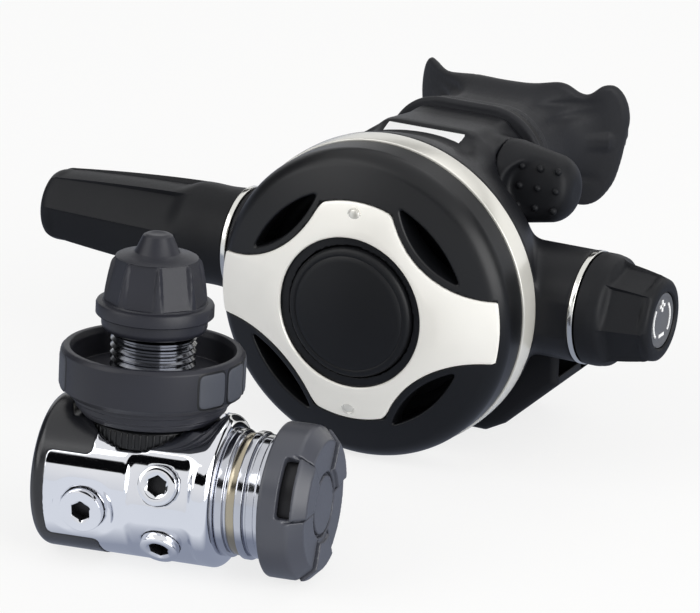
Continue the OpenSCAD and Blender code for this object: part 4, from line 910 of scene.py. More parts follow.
def teeField(x, y, z):
    s, back = tee, case["bellBack"] + tee["gap"]
    outer = edged(outlineField(x, z, teeOutline()), slab(y, s["front"], s["back"]), s["edge"])
    inner = meet(outlineField(x, z, teeOutline(s["wall"])), slab(y, s["front"] + 2, s["back"] - 2))
    outlets = meet(outlineField(x, z, teeOutline(s["wall"], 4)), slab(y, back, s["back"] - 2))
    bell = edged(bellField(x, y, z, s["bellGap"]), y - case["bellBack"] - s["gap"], case["bellEdge"])
    return meet(outer, -join(inner, outlets, bell, pillar(y, z, case["rightRadius"] + s["gap"])))


def makeTee():
    made = fieldMesh(teeField, (-45.2, 2.4, -46.8), (45.2, 37.6, 5.2), tee["step"])
    finishPiece("exhaustTee", made, "softRubber", "second_stage", "exhaust_tee", "sleeve_rubber")


makeTee()

# The mouthpiece: a collar on the nozzle, a tube, and a wavy flange curved round the teeth, with two bite tabs.
mouth = {"collar": 15.0, "collarBack": 40.5, "tube": 13.1, "airway": 10.5, "front": 30.3, "lip": 16.8, "lipWidth": 2.6,
    "flangeAt": 57.0, "halfWidth": 33.6, "halfHeight": 16.5, "bend": 50.0, "thick": 2.6, "edgeRound": 1.25,
    "back": 87.0, "blend": 8.0, "fold": 0.85, "foldWidth": 1.5, "groove": (33.0, 36.6), "grooveRadius": 14.2,
    "tubeFrom": 39, "nozzleTo": 39.8, "airwayTo": 71.5, "tabHalf": 2.2, "lugAt": (28, 78), "lugRadius": 2.0,
    "lugHalf": 5, "collarEdge": 1.3, "lipBlend": 0.8, "tubeBlend": 2.0, "tabEdge": 1.4, "tabBlend": 1.5,
    "lugEdge": 1.6, "lugBlend": 1.2, "step": 0.75,
    # Where the folds start and how far they take to grow, and where they end and how far they take to fade.
    "foldIn": (43, 6), "foldOut": (66, 8),
    # Each fold's height on the tube and how much it climbs to the sides.
    "folds": ((31, 0.16), (36.5, 0.05), (20, -0.2)),
    "tab": ((19, 60), (19.6, 83.3), (21, 86), (24, 87), (27, 86), (28.2, 84), (31, 77), (30, 66)),
    # The flange's outline as shares of its half width and height, and where its left lobe hangs lower.
    "edge": ((0, 0.909), (0.24, 0.933), (0.42, 1.042), (0.52, 1.03), (0.63, 0.885), (0.71, 0.873), (0.81, 1.024),
        (0.9, 0.994), (0.97, 0.752), (1, 0.394), (0.98, 0), (0.95, -0.424), (0.9, -0.818), (0.8, -1.115),
        (0.68, -1.188), (0.54, -1.091), (0.3, -0.982), (0, -0.958)),
    "leftTop": {0.24: 0.9, 0.42: 0.88, 0.52: 0.87, 0.63: 0.86, 0.71: 0.88, 0.81: 0.95, 0.9: 0.95, 0.97: 0.74, 1: 0.37}}


def flangeOutline():
    # The left lobe hangs a little, as soft silicone does.
    half, high, middle = mouth["halfWidth"], mouth["halfHeight"], case["neckHeight"]
    hangs = mouth["leftTop"]
    right = [(half * a, middle + high * b) for a, b in mouth["edge"]]
    left = [(-half * a, middle + high * (hangs.get(a, b) if b > 0.3 else b)) for a, b in mouth["edge"]]
    return smoothLoop(right + left[-2:0:-1], 4)


def mouthField(x, y, z):
    m = mouth
    collar = edged(neckField(x, z, m["collar"]), slab(y, m["front"], m["collarBack"]), m["collarEdge"])
    lip = edged(neckField(x, z, m["lip"]), slab(y, m["front"], m["front"] + m["lipWidth"]), m["edgeRound"])
    collar = joinSoft(collar, lip, m["lipBlend"])
    tube = meet(neckField(x, z, m["tube"]), slab(y, m["tubeFrom"], m["flangeAt"] + 10))
    centre = m["flangeAt"] + m["bend"]
    around = np.sqrt(x * x + (y - centre) ** 2)
    sheet = np.abs(around - m["bend"] + m["thick"] / 2) - m["thick"] / 2
    flange = edged(sheet, outlineField(x, z, flangeOutline()), m["edgeRound"])
    flange = meet(flange, y - m["back"], m["flangeAt"] - 1 - y)
    solid = joinSoft(joinSoft(collar, tube, m["tubeBlend"]), flange, m["blend"])
    # Soft folds run from the tube out into the flange.
    (start, grow), (end, ebb) = m["foldIn"], m["foldOut"]
    fade = np.clip((y - start) / grow, 0, 1) * np.clip((end - y) / ebb, 0, 1)
    for rise, lean in m["folds"]:
        solid = solid + m["fold"] * fade * np.exp(-((z - rise - lean * np.abs(x)) / m["foldWidth"]) ** 2)
    solid = meet(solid, m["bend"] - m["thick"] - around)
    high, (lugX, lugY) = np.abs(z - case["neckHeight"]), m["lugAt"]
    tabs = edged(outlineField(np.abs(x), y, m["tab"]), high - m["tabHalf"], m["tabEdge"])
    lugs = edged(pillar(np.abs(x) - lugX, y - lugY, m["lugRadius"]), high - m["lugHalf"], m["lugEdge"])
    solid = joinSoft(joinSoft(solid, tabs, m["tabBlend"]), lugs, m["lugBlend"])
    nozzle = meet(neckField(x, z, case["nozzle"] + play), y - m["nozzleTo"])
    airway = meet(neckField(x, z, m["airway"]), slab(y, m["tubeFrom"], m["airwayTo"]))
    groove = meet(m["grooveRadius"] - neckField(x, z, 0), slab(y, *m["groove"]))
    return meet(solid, -nozzle, -airway, -groove)


def makeMouthpiece():
    made = fieldMesh(mouthField, (-35.5, 29.0, 3.6), (35.5, 88.5, 46.6), mouth["step"])
    finishPiece("mouthpieceBody", made, "silicone", "second_stage", "mouthpiece", "mouth_silicone")


clamp = {"radius": 14.85, "halfThick": 0.55, "front": 33.2, "back": 36.4, "headHalf": 3.5, "headAt": 9.6,
    "headHigh": 1.5, "headInside": 14.3, "bandEdge": 0.3, "headEdge": 0.4, "step": 0.35}


def clampField(x, y, z):
    s = clamp
    along = slab(y, s["front"], s["back"])
    band = edged(np.abs(neckField(x, z, s["radius"])) - s["halfThick"], along, s["bandEdge"])
    head = meet(np.abs(x) - s["headHalf"], np.abs(z - s["headAt"]) - s["headHigh"])
    head = edged(head, along, s["headEdge"])
    return join(band, meet(head, s["headInside"] - neckField(x, z, 0)))


def makeClamp():
    made = fieldMesh(clampField, (-25, 32, 7), (25, 38, 43), clamp["step"])
    finishPiece("mouthpieceBand", made, "nitrile", "second_stage", "mouthpiece_clamp", "button_plastic")


makeMouthpiece()
makeClamp()
print("tee and mouthpiece made")

# Sleeve and knob share one fluting: flat facets that step down along one edge, deepest towards the case.
sleeve = {"from": -54.7, "length": 63.7, "wide": 15.0, "narrow": 10.7, "bore": 7.0, "collar": 9.7, "room": 10.54,
    "lobes": 7, "turn": 53.0, "fluteFrom": -69.0, "fluteTo": -112.0, "step": 1.6, "stepEnd": 0.4, "run": 7.0,
    "flat": 0.7, "endRound": 3.4,
    # How the sleeve narrows: a power of its length, and a waist by its depth, place and width.
    "bow": 1.8, "waist": (0.35, 0.1, 0.07)}
knob = {"from": 57.1, "length": 20.6, "wide": 16.0, "spigot": 8.45, "spigotFrom": 51.3, "lobes": 7, "turn": 68.0,
    "fluteFrom": 63.6, "fluteTo": 75.0, "step": 1.25, "stepEnd": 0.5, "run": 1.8, "flat": 1.0, "endRound": 3.3,
    # The body's narrowing: its start, how far before the end it stops, a shoulder by its depth, place and steepness,
    # and a taper by its depth and power.
    "bodyFrom": 4.8, "bodyShort": 3.2, "shoulder": (1.35, 7.0, 1.3), "taper": (1.7, 1.6),
    "disc": 8.0, "markThick": 0.22, "markDepth": 0.68, "markAt": 4.3, "markBar": (3.4, 0.9),
    "arcAt": 5.6, "arcHalf": 38, "arcBars": 9, "arcBar": (0.7, 0.98)}


def fluted(s, outline):
    # The outline's points are (radius, along, share of the fluting).
    spots = np.array([0, 0.02, 0.035, 0.06, 0.1, 0.16, 0.24, 0.33, 0.42, 0.52, 0.62, 0.72, 0.82, 0.9, 0.96])
    lobe = 2 * math.pi / s["lobes"]
    first = math.radians(90 + s["turn"]) + 0.5 * lobe
    turn = (first + (np.arange(s["lobes"])[:, None] + spots[None, :]) * lobe).reshape(-1)[:, None]
    share = np.tile(spots, s["lobes"])[:, None]
    radius, along, weight = (np.array(outline, float)[:, i][None, :] for i in range(3))
    length = s["fluteTo"] - s["fluteFrom"]
    travelled = (along - s["fluteFrom"]) / length
    fade = np.clip(travelled * abs(length) / s["run"], 0, 1)
    fade = fade * fade * (3 - 2 * fade) * weight
    drop = s["step"] + (s["stepEnd"] - s["step"]) * np.clip(travelled, 0, 1)
    low = radius - drop
    # Along a facet the radius is that of the straight line between its two edges.
    a = share * lobe
    dx, dy = radius * math.cos(lobe) - low, radius * math.sin(lobe)
    facet = low * dy / (np.cos(a) * dy - np.sin(a) * dx + 1e-9)
    facet = facet * s["flat"] + (low + drop * share) * (1 - s["flat"])
    facet = np.where(share < 0.01, radius, facet)
    radius = radius + (facet - radius) * fade
    points = np.stack((along + 0 * turn, radius * np.cos(turn), radius * np.sin(turn)), -1)
    return meshOf(points.reshape(-1, 3), gridFaces(points.shape[0], points.shape[1]))


def makeSleeve():
    s = sleeve
    x0, end, wide, bore = s["from"], s["from"] - s["length"], s["wide"], s["bore"]
    depth, waistAt, spread = s["waist"]
    outline = [(s["collar"], x0, 0), (wide - 0.4, x0, 0), (wide, x0 - 0.5, 0)]
    for t in np.linspace(0.02, 0.93, 56):
        waist = depth * math.exp(-((t - waistAt) / spread) ** 2)
        outline.append((wide - (wide - s["narrow"]) * t ** s["bow"] - waist, x0 - s["length"] * t, 1.0))
    radius, along, _ = outline[-1]
    for a in np.linspace(0.1, math.pi / 2, 9):
        spot = along - (along - end) * math.sin(a)
        outline.append((radius - s["endRound"] * (1 - math.cos(a)), spot, max(0.0, 1 - a)))
    outline += [(bore + 0.4, end, 0), (bore, end + 0.5, 0), (bore, x0 - 24, 0), (s["room"], x0 - 22, 0),
        (s["room"], x0 - 2.6, 0), (s["collar"], x0 - 2.6, 0)]
    made = fluted(s, outline)
    finishPiece("hoseSleeve", made, "softRubber", "second_stage", "hose_sleeve", "sleeve_rubber", sharp=32)


def makeKnob():
    s = knob
    x0, end, wide, disc = s["from"], s["from"] + s["length"], s["wide"], s["disc"]
    (depth, shoulderAt, steep), (taper, power) = s["shoulder"], s["taper"]
    outline = [(0, s["spigotFrom"], 0), (s["spigot"], s["spigotFrom"], 0), (s["spigot"], x0, 0), (wide - 0.4, x0, 0),
        (wide, x0 + 0.4, 0), (wide, x0 + 3.2, 0), (wide - 0.12, x0 + 4.2, 0)]
    for t in np.linspace(0, 1, 26):
        x = x0 + s["bodyFrom"] + t * (s["length"] - s["bodyFrom"] - s["bodyShort"])
        shoulder = depth * (1 - 1 / (1 + math.exp((x - x0 - shoulderAt) * steep)))
        outline.append((wide - 0.2 - shoulder - taper * t ** power, x, 1.0))
    radius, along, _ = outline[-1]
    for a in np.linspace(0.12, math.pi / 2, 9):
        spot = along + (end - along) * math.sin(a)
        outline.append((radius - s["endRound"] * (1 - math.cos(a)), spot, max(0.0, 1 - a * 1.1)))
    outline += [(disc + 0.5, end, 0), (disc + 0.1, end - 0.4, 0), (disc + 0.1, end - 2, 0), (0, end - 2, 0)]
    made = fluted(s, outline)
    finishPiece("adjustKnob", made, "softRubber", "adjust_knob", "adjust_knob", "knob_rubber", sharp=32)
    face = [(0, end - 0.75), (disc * 0.86, end - 0.75), (disc * 0.9, end - 0.55), (disc * 0.97, end - 0.6),
        (disc, end - 0.95), (disc, end - 1.9), (0, end - 1.9)]
    finishPiece("knobDisc", lathe(face, "x", 96), "greyBadge", "adjust_knob", "knob_disc", "knob_badge")


def makeMarks():
    # Raised plus and minus marks on the knob's disc for more and less effort, with an arc of short bars at each side.
    s, marks = knob, bmesh.new()
    x = s["from"] + s["length"] - s["markDepth"]
    long, short = s["markBar"]
    bars = [(s["markAt"], long, short), (s["markAt"], short, long), (-s["markAt"], long, short)]
    places = [(Matrix.Translation((x, 0, z)), wide, high) for z, wide, high in bars]
    for side in (-1, 1):
        for degrees in np.linspace(-s["arcHalf"], s["arcHalf"], s["arcBars"]):
            a = math.radians(degrees)
            spot = Matrix.Translation((x, side * s["arcAt"] * math.cos(a), s["arcAt"] * math.sin(a)))
            places.append((spot @ Matrix.Rotation(side * a, 4, "X"), *s["arcBar"]))
    for place, wide, high in places:
        bmesh.ops.create_cube(marks, size=1, matrix=place @ Matrix.Diagonal((s["markThick"], wide, high, 1)))
    mesh = bpy.data.meshes.new("marks")
    marks.to_mesh(mesh)
    marks.free()
    finishPiece("knobMarks", mesh, "labelFilm", "adjust_knob", slot="knob_badge")


makeSleeve()
makeKnob()
makeMarks()

# The lever: a round body that tapers to an oval thumb pad with nine dots.
lever = {"from": 20.5, "to": 42.2, "radius": 12.0, "endRadius": 8.6, "endRound": 6.0, "bore": 3.06, "padAt": 33.4,
    "padHalf": 9.2, "padHigh": 8.3, "padFace": 7.5, "padLean": 0.06, "padOpen": 0.5, "padSoft": 2.0, "padBlend": 1.7,
    "taperAfter": 3, "footEdge": 0.35, "boreDeep": 5, "tilt": -12.0, "dots": 3, "dotPitch": 5.6,
    "dot": ((0, 0.7), (0.4, 0.62), (0.75, 0.42), (0.98, 0.12), (1.05, -0.4), (0, -0.4)), "step": 0.5}
label = {"width": 24, "height": 6.8, "thick": 0.4, "edge": 0.12, "at": 2.4, "proud": 0.25}


def leverField(x, y, z):
    s = lever
    y, z = y - case["leverBack"], z - case["leverHeight"]
    r = np.sqrt(y * y + z * z)
    t = np.clip((x - s["from"] - s["taperAfter"]) / (s["to"] - s["from"] - s["taperAfter"]), 0, 1)
    radius = s["radius"] - (s["radius"] - s["endRadius"]) * t
    body = edged(edged(r - radius, x - s["to"], s["endRound"]), s["from"] - x, s["footEdge"])
    a = math.radians(s["tilt"])
    away, high = -(y * math.cos(a) + z * math.sin(a)), -y * math.sin(a) + z * math.cos(a)
    # The dish is an oval that stays open towards the lever's end.
    along = np.where(x < s["padAt"], x - s["padAt"], (x - s["padAt"]) * s["padOpen"])
    pad = (np.sqrt((along / s["padHalf"]) ** 2 + (high / s["padHigh"]) ** 2) - 1) * s["padHigh"]
    floor = s["padFace"] - away - s["padLean"] * (pad + s["padHigh"])
    body = cutSoft(body, meetSoft(pad, floor, s["padSoft"]), s["padBlend"])
    return meet(body, -meet(r - s["bore"], x - s["from"] - s["boreDeep"]))


def makeLever():
    s = lever
    made = fieldMesh(leverField, (19.4, 2.6, 13.6), (43.6, 29.6, 40.4), s["step"], calm=1)
    finishPiece("diveLever", made, "softRubber", "dive_lever", "dive_lever", "knob_rubber")
    values = {"Across": s["dots"], "Down": s["dots"], "Pitch": s["dotPitch"]}
    mesh = grown(gridTree, "softRubber", values, lathe(s["dot"], "z", 24))
    tilt = Matrix.Rotation(math.radians(s["tilt"]), 4, "X")
    mesh.transform(Matrix.Translation((0, case["leverBack"], case["leverHeight"])) @ tilt
        @ Matrix.Translation((s["padAt"], -s["padFace"], 0)) @ Matrix.Rotation(math.pi / 2, 4, "X"))
    finishPiece("leverDots", mesh, "softRubber", "dive_lever", slot="knob_rubber")


def makeLabel():
    # A bare white film on the hood's slope.
    s, film = label, bmesh.new()
    fromY, fromZ, run, rise, _ = case["hoodSlope"]
    place = (Matrix.Translation((0, s["at"], fromZ + (s["at"] - fromY) * rise / run))
        @ Matrix.Rotation(math.atan2(rise, run), 4, "X") @ Matrix.Translation((0, 0, s["proud"])))
    size = Matrix.Diagonal((s["width"], s["height"], s["thick"], 1))
    bmesh.ops.create_cube(film, size=1, matrix=place @ size)
    bmesh.ops.bevel(film, geom=film.edges[:], offset=s["edge"], segments=2, affect="EDGES")
    mesh = bpy.data.meshes.new("label")
    film.to_mesh(mesh)
    film.free()
    finishPiece("hoodLabel", mesh, "labelFilm", "second_stage", "label_plate", "label_film")


makeLever()
makeLabel()
print("sleeve, knob, lever and label made")

# First stage body: a chromed barrel along X with a rounded shoulder, flats for its ports and room for the DIN fitting.
body = {"left": -23.95, "right": 24.0, "radius": 20.6, "shoulder": 2.8,
    "pocket": 16.25, "pocketFloor": 12.4, "wheelRoom": 20.5, "wheelFloor": 18.1, "stud": 7.05,
    "spotFace": 19.6, "spotDeep": 0.8, "lowAt": 9.6, "lowAngles": (75, 128), "lowThread": 4.76, "lowHead": 5.3,
    "lowFloor": 9, "lowHalf": (8.5, 8.0), "lowCorner": 3.5, "highAt": -11.2, "highAngle": 102, "highThread": 5.56,
    "highHead": 6.0, "highFloor": 8, "highRadius": 8.3, "plugFace": 21.9, "soft": 0.9, "blend": 1.6, "mouth": 0.5,
    "threadPlay": 0.02, "step": 0.42,
    # Each bore along the barrel: from, to and radius.
    "bores": ((-25, 5.5, 10.0), (5.4, 7.5, 8.0), (6.5, 17, 11.0), (16, 25, 15.05))}
rubber = {"left": -26.5, "wallEnd": -24.0, "outer": 20.8, "inner": 19.6, "rimTo": -22.1, "topTo": -9.7, "topAngle": 60,
    "bottomTo": -8.0, "bottomAngle": 129.8, "corner": 2.0, "edge": 0.25, "round": 3.0, "shelf": 14.0, "sunk": 0.6,
    "tabBlend": 0.5, "rimBlend": 2.0, "step": 0.45}
plug = {"lowBottom": 14, "highBottom": 13, "socket": 2.9, "countersink": 3.35, "cup": (2.8, 2.88), "seal": 0.22}


def coverArea(x, y, z):
    # The rubber cover's outline on the barrel: a rim with a tab on top and one below, negative under the rubber.
    s = rubber
    around = s["outer"] * np.arctan2(np.abs(y), z)
    top = edged(x - s["topTo"], around - s["outer"] * math.radians(s["topAngle"]), s["corner"])
    bottom = edged(x - s["bottomTo"], s["outer"] * math.radians(s["bottomAngle"]) - around, s["corner"])
    return joinSoft(joinSoft(top, bottom, s["tabBlend"]), x - s["rimTo"], s["rimBlend"])


def portFrame(y, z, angle):
    # How far a point is beside a port and out along it; both sides of the barrel are alike.
    a = math.radians(angle)
    return np.abs(y) * math.cos(a) - z * math.sin(a), np.abs(y) * math.sin(a) + z * math.cos(a)


def rooms(x, y, z):
    # What the DIN fitting and the handwheel take away from the barrel and its rubber.
    s, r = body, np.sqrt(x * x + y * y)
    return join(meet(r - s["pocket"], s["pocketFloor"] - z), meet(r - s["wheelRoom"], s["wheelFloor"] - z))


def portHole(p, q, h, thread, floor):
    # A threaded hole with a wider mouth for its o-ring.
    wide = meet(pillar(p, q, thread + body["mouth"]), body["spotFace"] - body["spotDeep"] - h)
    return join(wide, meet(pillar(p, q, thread + body["threadPlay"]), floor - h))


def bodyField(x, y, z):
    s, r = body, np.sqrt(y * y + z * z)
    solid = meet(edged(r - s["radius"], x - s["right"], s["shoulder"]), s["left"] - x)
    # The rubber's outline lies over the metal, and on top the rubber is solid down to its shelf.
    area = coverArea(x, y, z)
    cut = join(meet(area + rubber["sunk"], rubber["inner"] - play - r), meet(area + play, rubber["shelf"] - z))
    cut = join(cut, rooms(x, y, z), meet(pillar(x, y, s["stud"]), -z))
    flats, (halfLong, halfWide) = 99.0, s["lowHalf"]
    for angle in s["lowAngles"]:
        p, (q, h) = x - s["lowAt"], portFrame(y, z, angle)
        flat = edged(np.abs(p) - halfLong, np.abs(q) - halfWide, s["lowCorner"])
        flats = join(flats, meetSoft(flat, s["spotFace"] - h, s["soft"]))
        cut = join(cut, portHole(p, q, h, s["lowThread"], s["lowFloor"]))
    p, (q, h) = x - s["highAt"], portFrame(y, z, s["highAngle"])
    flats = join(flats, meetSoft(pillar(p, q, s["highRadius"]), s["spotFace"] - h, s["soft"]))
    cut = join(cut, portHole(p, q, h, s["highThread"], s["highFloor"]))
    for x0, x1, radius in s["bores"]:
        cut = join(cut, meet(r - radius, slab(x, x0, x1)))
    return meet(cutSoft(solid, flats, s["blend"] * s["soft"]), -cut)


def rubberField(x, y, z):
    s, r = rubber, np.sqrt(y * y + z * z)
    outer = edged(edged(r - s["outer"], s["left"] - x, s["round"]), coverArea(x, y, z), s["edge"])
    room = meet(r - s["inner"], s["wallEnd"] - x, z - s["shelf"] - play)
    return meet(outer, -room, -rooms(x, y, z))


def makeFirstBody():
    reach = body["radius"] + 0.8
    made = fieldMesh(bodyField, (-24.6, -reach, -reach), (24.8, reach, reach), body["step"], calm=2)
    finishPiece("firstBody", made, "chrome", "first_stage", "first_stage_body", "chromed_brass")
    made = fieldMesh(rubberField, (-27.2, -reach, -reach), (-7, reach, reach), rubber["step"])
    finishPiece("endCover", made, "glossRubber", "first_stage", "end_cover", "endcap_rubber")


# Turns a ring made about Z into a ring about the barrel's own axis.
aboutX = Matrix(((0, 0, 1, 0), (1, 0, 0, 0), (0, 1, 0, 0), (0, 0, 0, 1)))


def atPorts(finish, low=None, high=None):
    # A shape made along X goes to both ports of each pair, on either side of the barrel.
    s, rings = body, []
    for unit, at, angles in ((low, s["lowAt"], s["lowAngles"]), (high, s["highAt"], (s["highAngle"],))):
        for angle in angles if unit else ():
            start = math.radians(90 - angle)
            values = {"Count": 2, "Start": start, "Step": math.pi - 2 * start, "Radius": 0.0}
            ring = grown(ringTree, finish, values, unit)
            ring.transform(Matrix.Translation((at, 0, 0)) @ aboutX)
            rings.append(ring)
    return joined(rings)


def sixSided(turn):
    # A hexagon's distance from its middle, as a share of that of its corners.
    return math.cos(math.pi / 6) / np.cos((turn % (math.pi / 3)) - math.pi / 6)


def plugMesh(thread, head, bottom):
    face, seat = body["plugFace"], body["spotFace"] + play
    socket, countersink = plug["socket"], plug["countersink"]

    def hexed(turn, radius, along):
        inSocket = (radius > 0.1) & (radius < socket + 0.01)
        return np.where(inSocket, socket * sixSided(turn), radius + 0 * turn)

    outline = [(0, bottom), (thread - 0.05, bottom), (thread - 0.05, seat), (head, seat), (head, face - 0.5),
        (head - 0.13, face - 0.2), (head - 0.5, face), (countersink + 0.1, face), (countersink, face - 0.03),
        (socket, face - 0.5), (socket, face - 3.3), (0, face - 3.5)]
    return lathe(outline, "x", 48, hexed)


def cupMesh():
    # A dark cup that lines a plug's hexagon: painted shade in the socket.
    face, (inner, outer) = body["plugFace"], plug["cup"]

    def hexed(turn, radius, along):
        return np.where(radius > 0.1, radius * sixSided(turn), radius + 0 * turn)

    outline = [(0, face - 3.25), (outer, face - 3.25), (outer, face - 0.62), (inner, face - 0.62), (inner, face - 3.1),
        (0, face - 3.1)]
    return lathe(outline, "x", 48, hexed)


def makePorts():
    s = body
    low = plugMesh(s["lowThread"], s["lowHead"], plug["lowBottom"])
    high = plugMesh(s["highThread"], s["highHead"], plug["highBottom"])
    for name, node, made in (
            ("lowPlugs", "low_plugs", atPorts("chrome", low=low)),
            ("highPlugs", "high_plugs", atPorts("chrome", high=high))):
        finishPiece(name, made, "chrome", "first_stage", node, "chromed_brass", sharp=32)
    # The cups darken the chrome plugs' hex sockets as painted shade.
    made = atPorts("paintedShadeSteel", cupMesh(), cupMesh())
    finishPiece("plugSockets", made, "paintedShadeSteel", "first_stage", slot="chromed_brass", sharp=25)
    seals = [torus(t + 0.24, plug["seal"], s["spotFace"] - 0.3, "x", 40, 10) for t in (s["lowThread"], s["highThread"])]
    finishPiece("portSeals", atPorts("nitrile", *seals), "nitrile", "first_stage", "port_o_rings", "seal_rubber")


makeFirstBody()
makePorts()
print("first stage body and ports made")

# The neck's turned rings with the anodised band in its groove, and the end cap with windows onto a ring painted dark as
# shade and dark reflection.
neck = {"bore": 11.8, "seat": 15, "wide": 17.2, "root": 24.0, "from": 24.05, "to": 37.15, "end": 43,
    "bandFrom": 27.25, "bandTo": 29.65, "bandRadius": 16.35, "bandInside": 15.9,
    # Each turn of the outline: how far inside the widest ring, and how far from the root.
    "turns": ((0, 0.45), (0, 2.3), (0.25, 2.5), (1.2, 2.6), (1.2, 3.2), (0.9, 3.2), (0.9, 5.7), (0.12, 5.85), (0, 6.1),
        (0, 7.7), (0.3, 8.0), (1.3, 8.1), (1.3, 8.8), (0.7, 8.85), (0.6, 9.0), (0.6, 10.9), (0.3, 11.1), (0.3, 12.1),
        (0.4, 12.2), (1, 12.2))}
cap = {"from": 37.2, "to": 50.0, "radius": 20.8, "chamfer": 3.3, "bore": 15.05, "floor": 44.0, "windows": 3,
    "windowAt": 63, "windowFrom": 42.2, "windowTo": 46.2, "insertIn": 16.2, "insertOut": 18.2, "disc": 8.4,
    "lug": 0.8, "lugHalf": 26, "lugFrom": 1.6, "seam": 0.42, "seamDeep": 1.9, "seamAt": 0.3, "seamFrom": 1.0,
    "discDeep": 2.0, "endEdge": 0.5, "backEdge": 0.6, "windowEdge": 0.8, "windowLip": 0.05, "step": 0.38,
    # The slope of a window's sides: run, rise and length.
    "windowSlope": (45, 20, 49.24)}


def makeNeck():
    s = neck
    r, seat, bore, band = s["wide"], s["seat"], s["bore"], s["bandRadius"]
    outline = [(bore, 17.1), (seat, 17.1), (seat, s["from"]), (r - 0.4, s["from"])]
    outline += [(r - inside, s["root"] + along) for inside, along in s["turns"]]
    outline += [(r - 1, s["to"]), (seat, s["to"]), (seat, s["end"]), (bore, s["end"])]
    mesh = lathe(softened(outline, 0.14, 3), "x", 192)
    finishPiece("neckRing", mesh, "turnedChrome", "first_stage", "neck_ring", "chromed_brass", sharp=30)
    inside, start, end = s["bandInside"], s["bandFrom"], s["bandTo"]
    outline = [(inside, start), (band - 0.1, start), (band, start + 0.12), (band + 0.08, (start + end) / 2),
        (band, end - 0.12), (band - 0.1, end), (inside, end)]
    finishPiece("neckBand", lathe(outline, "x", 192), "bronzeBand", "first_stage", slot="chromed_brass", sharp=40)


def capField(x, y, z):
    s, r = cap, np.sqrt(y * y + z * z)
    # Three lugs stand proud of the sloped end; the windows are cut through their feet.
    lugs = window = 99.0
    lean, (run, rise, length) = math.radians(s["lugHalf"]), s["windowSlope"]
    for k in range(s["windows"]):
        a = math.radians(s["windowAt"] + 360 / s["windows"] * k)
        h, q = -y * math.sin(a) + z * math.cos(a), np.abs(y * math.cos(a) + z * math.sin(a))
        lugs = join(lugs, q * math.cos(lean) - h * math.sin(lean))
        window = join(window, (q * run - h * rise) / length)
    reach = s["to"] + s["radius"] - s["chamfer"]
    end = meet((x + r - reach) / math.sqrt(2), x - s["to"])
    seams = meet(np.abs(lugs + s["seamAt"]) - s["seam"], -s["seamDeep"] - end, s["disc"] + s["seamFrom"] - r)
    end = join(end + s["lug"], meet(end, lugs, s["disc"] + s["lugFrom"] - r))
    solid = edged(edged(r - s["radius"], end, s["endEdge"]), s["from"] - x, s["backEdge"])
    dish = meet(np.abs(r - s["disc"]) - s["seam"], s["to"] - s["discDeep"] - x)
    along = slab(x, s["windowFrom"], s["windowTo"])
    windows = edged(edged(window, along, s["windowEdge"]), s["insertOut"] - r, s["windowLip"])
    insert = slab(r, s["insertIn"] - play, s["insertOut"] + play)
    insert = meet(insert, slab(x, s["windowFrom"] - 0.1, s["windowTo"] + 0.1))
    return meet(solid, -join(dish, seams, meet(r - s["bore"], x - s["floor"]), windows, insert))


def makeEndCap():
    s = cap
    reach = s["radius"] + 0.8
    made = fieldMesh(capField, (36.4, -reach, -reach), (50.9, reach, reach), s["step"], calm=1)
    finishPiece("endCap", made, "blackAnodised", "first_stage", "end_cap", "cap_anodised")
    low, high, start, end = s["insertIn"], s["insertOut"], s["windowFrom"], s["windowTo"]
    outline = softened([(low, start), (high, start), (high, end), (low, end)], 0.3)
    # The insert is chrome; its near-black finish is painted shade and dark reflection in the windows.
    finishPiece("capInsert", lathe(outline, "x", 144), "paintedShadeSteel", "first_stage", "cap_insert", "chromed_brass")


makeNeck()
makeEndCap()
print("neck and end cap made")

# DIN fitting: ribbed base ring, handwheel with its grip pads, thread and protector cap, all about one upright axis.
wheel = {"radius": 24.4, "hub": 11.5, "low": 18.4, "bottom": 24.2, "top": 36.8, "floor": 29.5, "pads": 11,
    "firstPad": -30, "padStep": 24, "padRise": 0.38, "padHalf": 4.4, "padLow": 26.2, "padHigh": 35.4,
    "padRound": 0.32, "frame": 0.55, "frameRise": 0.1, "foot": -0.25,
    # The foot of the wheel by how far inside its rim and above its bottom, then its hub's recess.
    "skirt": ((6.3, 0.2), (5.0, 1.7), (5.0, 2.2), (4.2, 2.5), (4.0, 4.2), (3.1, 4.5)), "recess": 14, "recessTop": 22.0}
base = {"bore": 7.05, "from": 12.5, "to": 17.6, "radius": 15.6, "ribs": 54, "ribRadius": 15.62}
thread = {"core": 10.62, "crest": 11.43, "pitch": 1.814, "from": 31.0, "to": 48.0, "end": 48.4, "bore": 7.08,
    "flange": 13.95, "flangeFrom": 18.4, "flangeTo": 21.9}
shield = {"bottom": 41.5, "top": 67.8, "facets": 8, "facetFrom": 49.85, "facetTo": 61.4, "facetAt": 12.95,
    "facetLean": 0.24, "facetHalf": 4.6, "facetInside": 9.3, "facetRamp": 0.8, "bore": 11.75, "shoulder": 18.0,
    # The flange by radius and height above the bottom; the nipple and the socket by radius and height.
    "flange": ((14.1, 4.0), (14.3, 4.2), (15.4, 4.3), (15.7, 4.6), (15.7, 7.2), (15.45, 7.7), (15.1, 7.9),
        (14.0, 7.95), (13.75, 8.2), (13.7, 8.34)),
    "nipple": ((8.6, 62.15), (7.0, 62.45), (6.1, 62.9), (5.5, 63.9), (4.3, 66.6), (3.9, 67.35), (3.3, 67.7)),
    "socketDeep": 8.5, "socket": ((8.8, 53.9), (11.75, 52.9))}
stud = {"edge": 0.15, "outline": ((3.25, 10.2), (7, 10.2), (7, 48.8), (9.4, 48.8), (9.4, 51.3), (8.8, 51.4),
        (8.6, 50.4), (6.2, 50.4), (6.0, 51.4), (3.6, 51.4), (3.25, 51.1)),
    "seal": {"ring": 7.4, "thick": 1.0, "at": 51.45}}


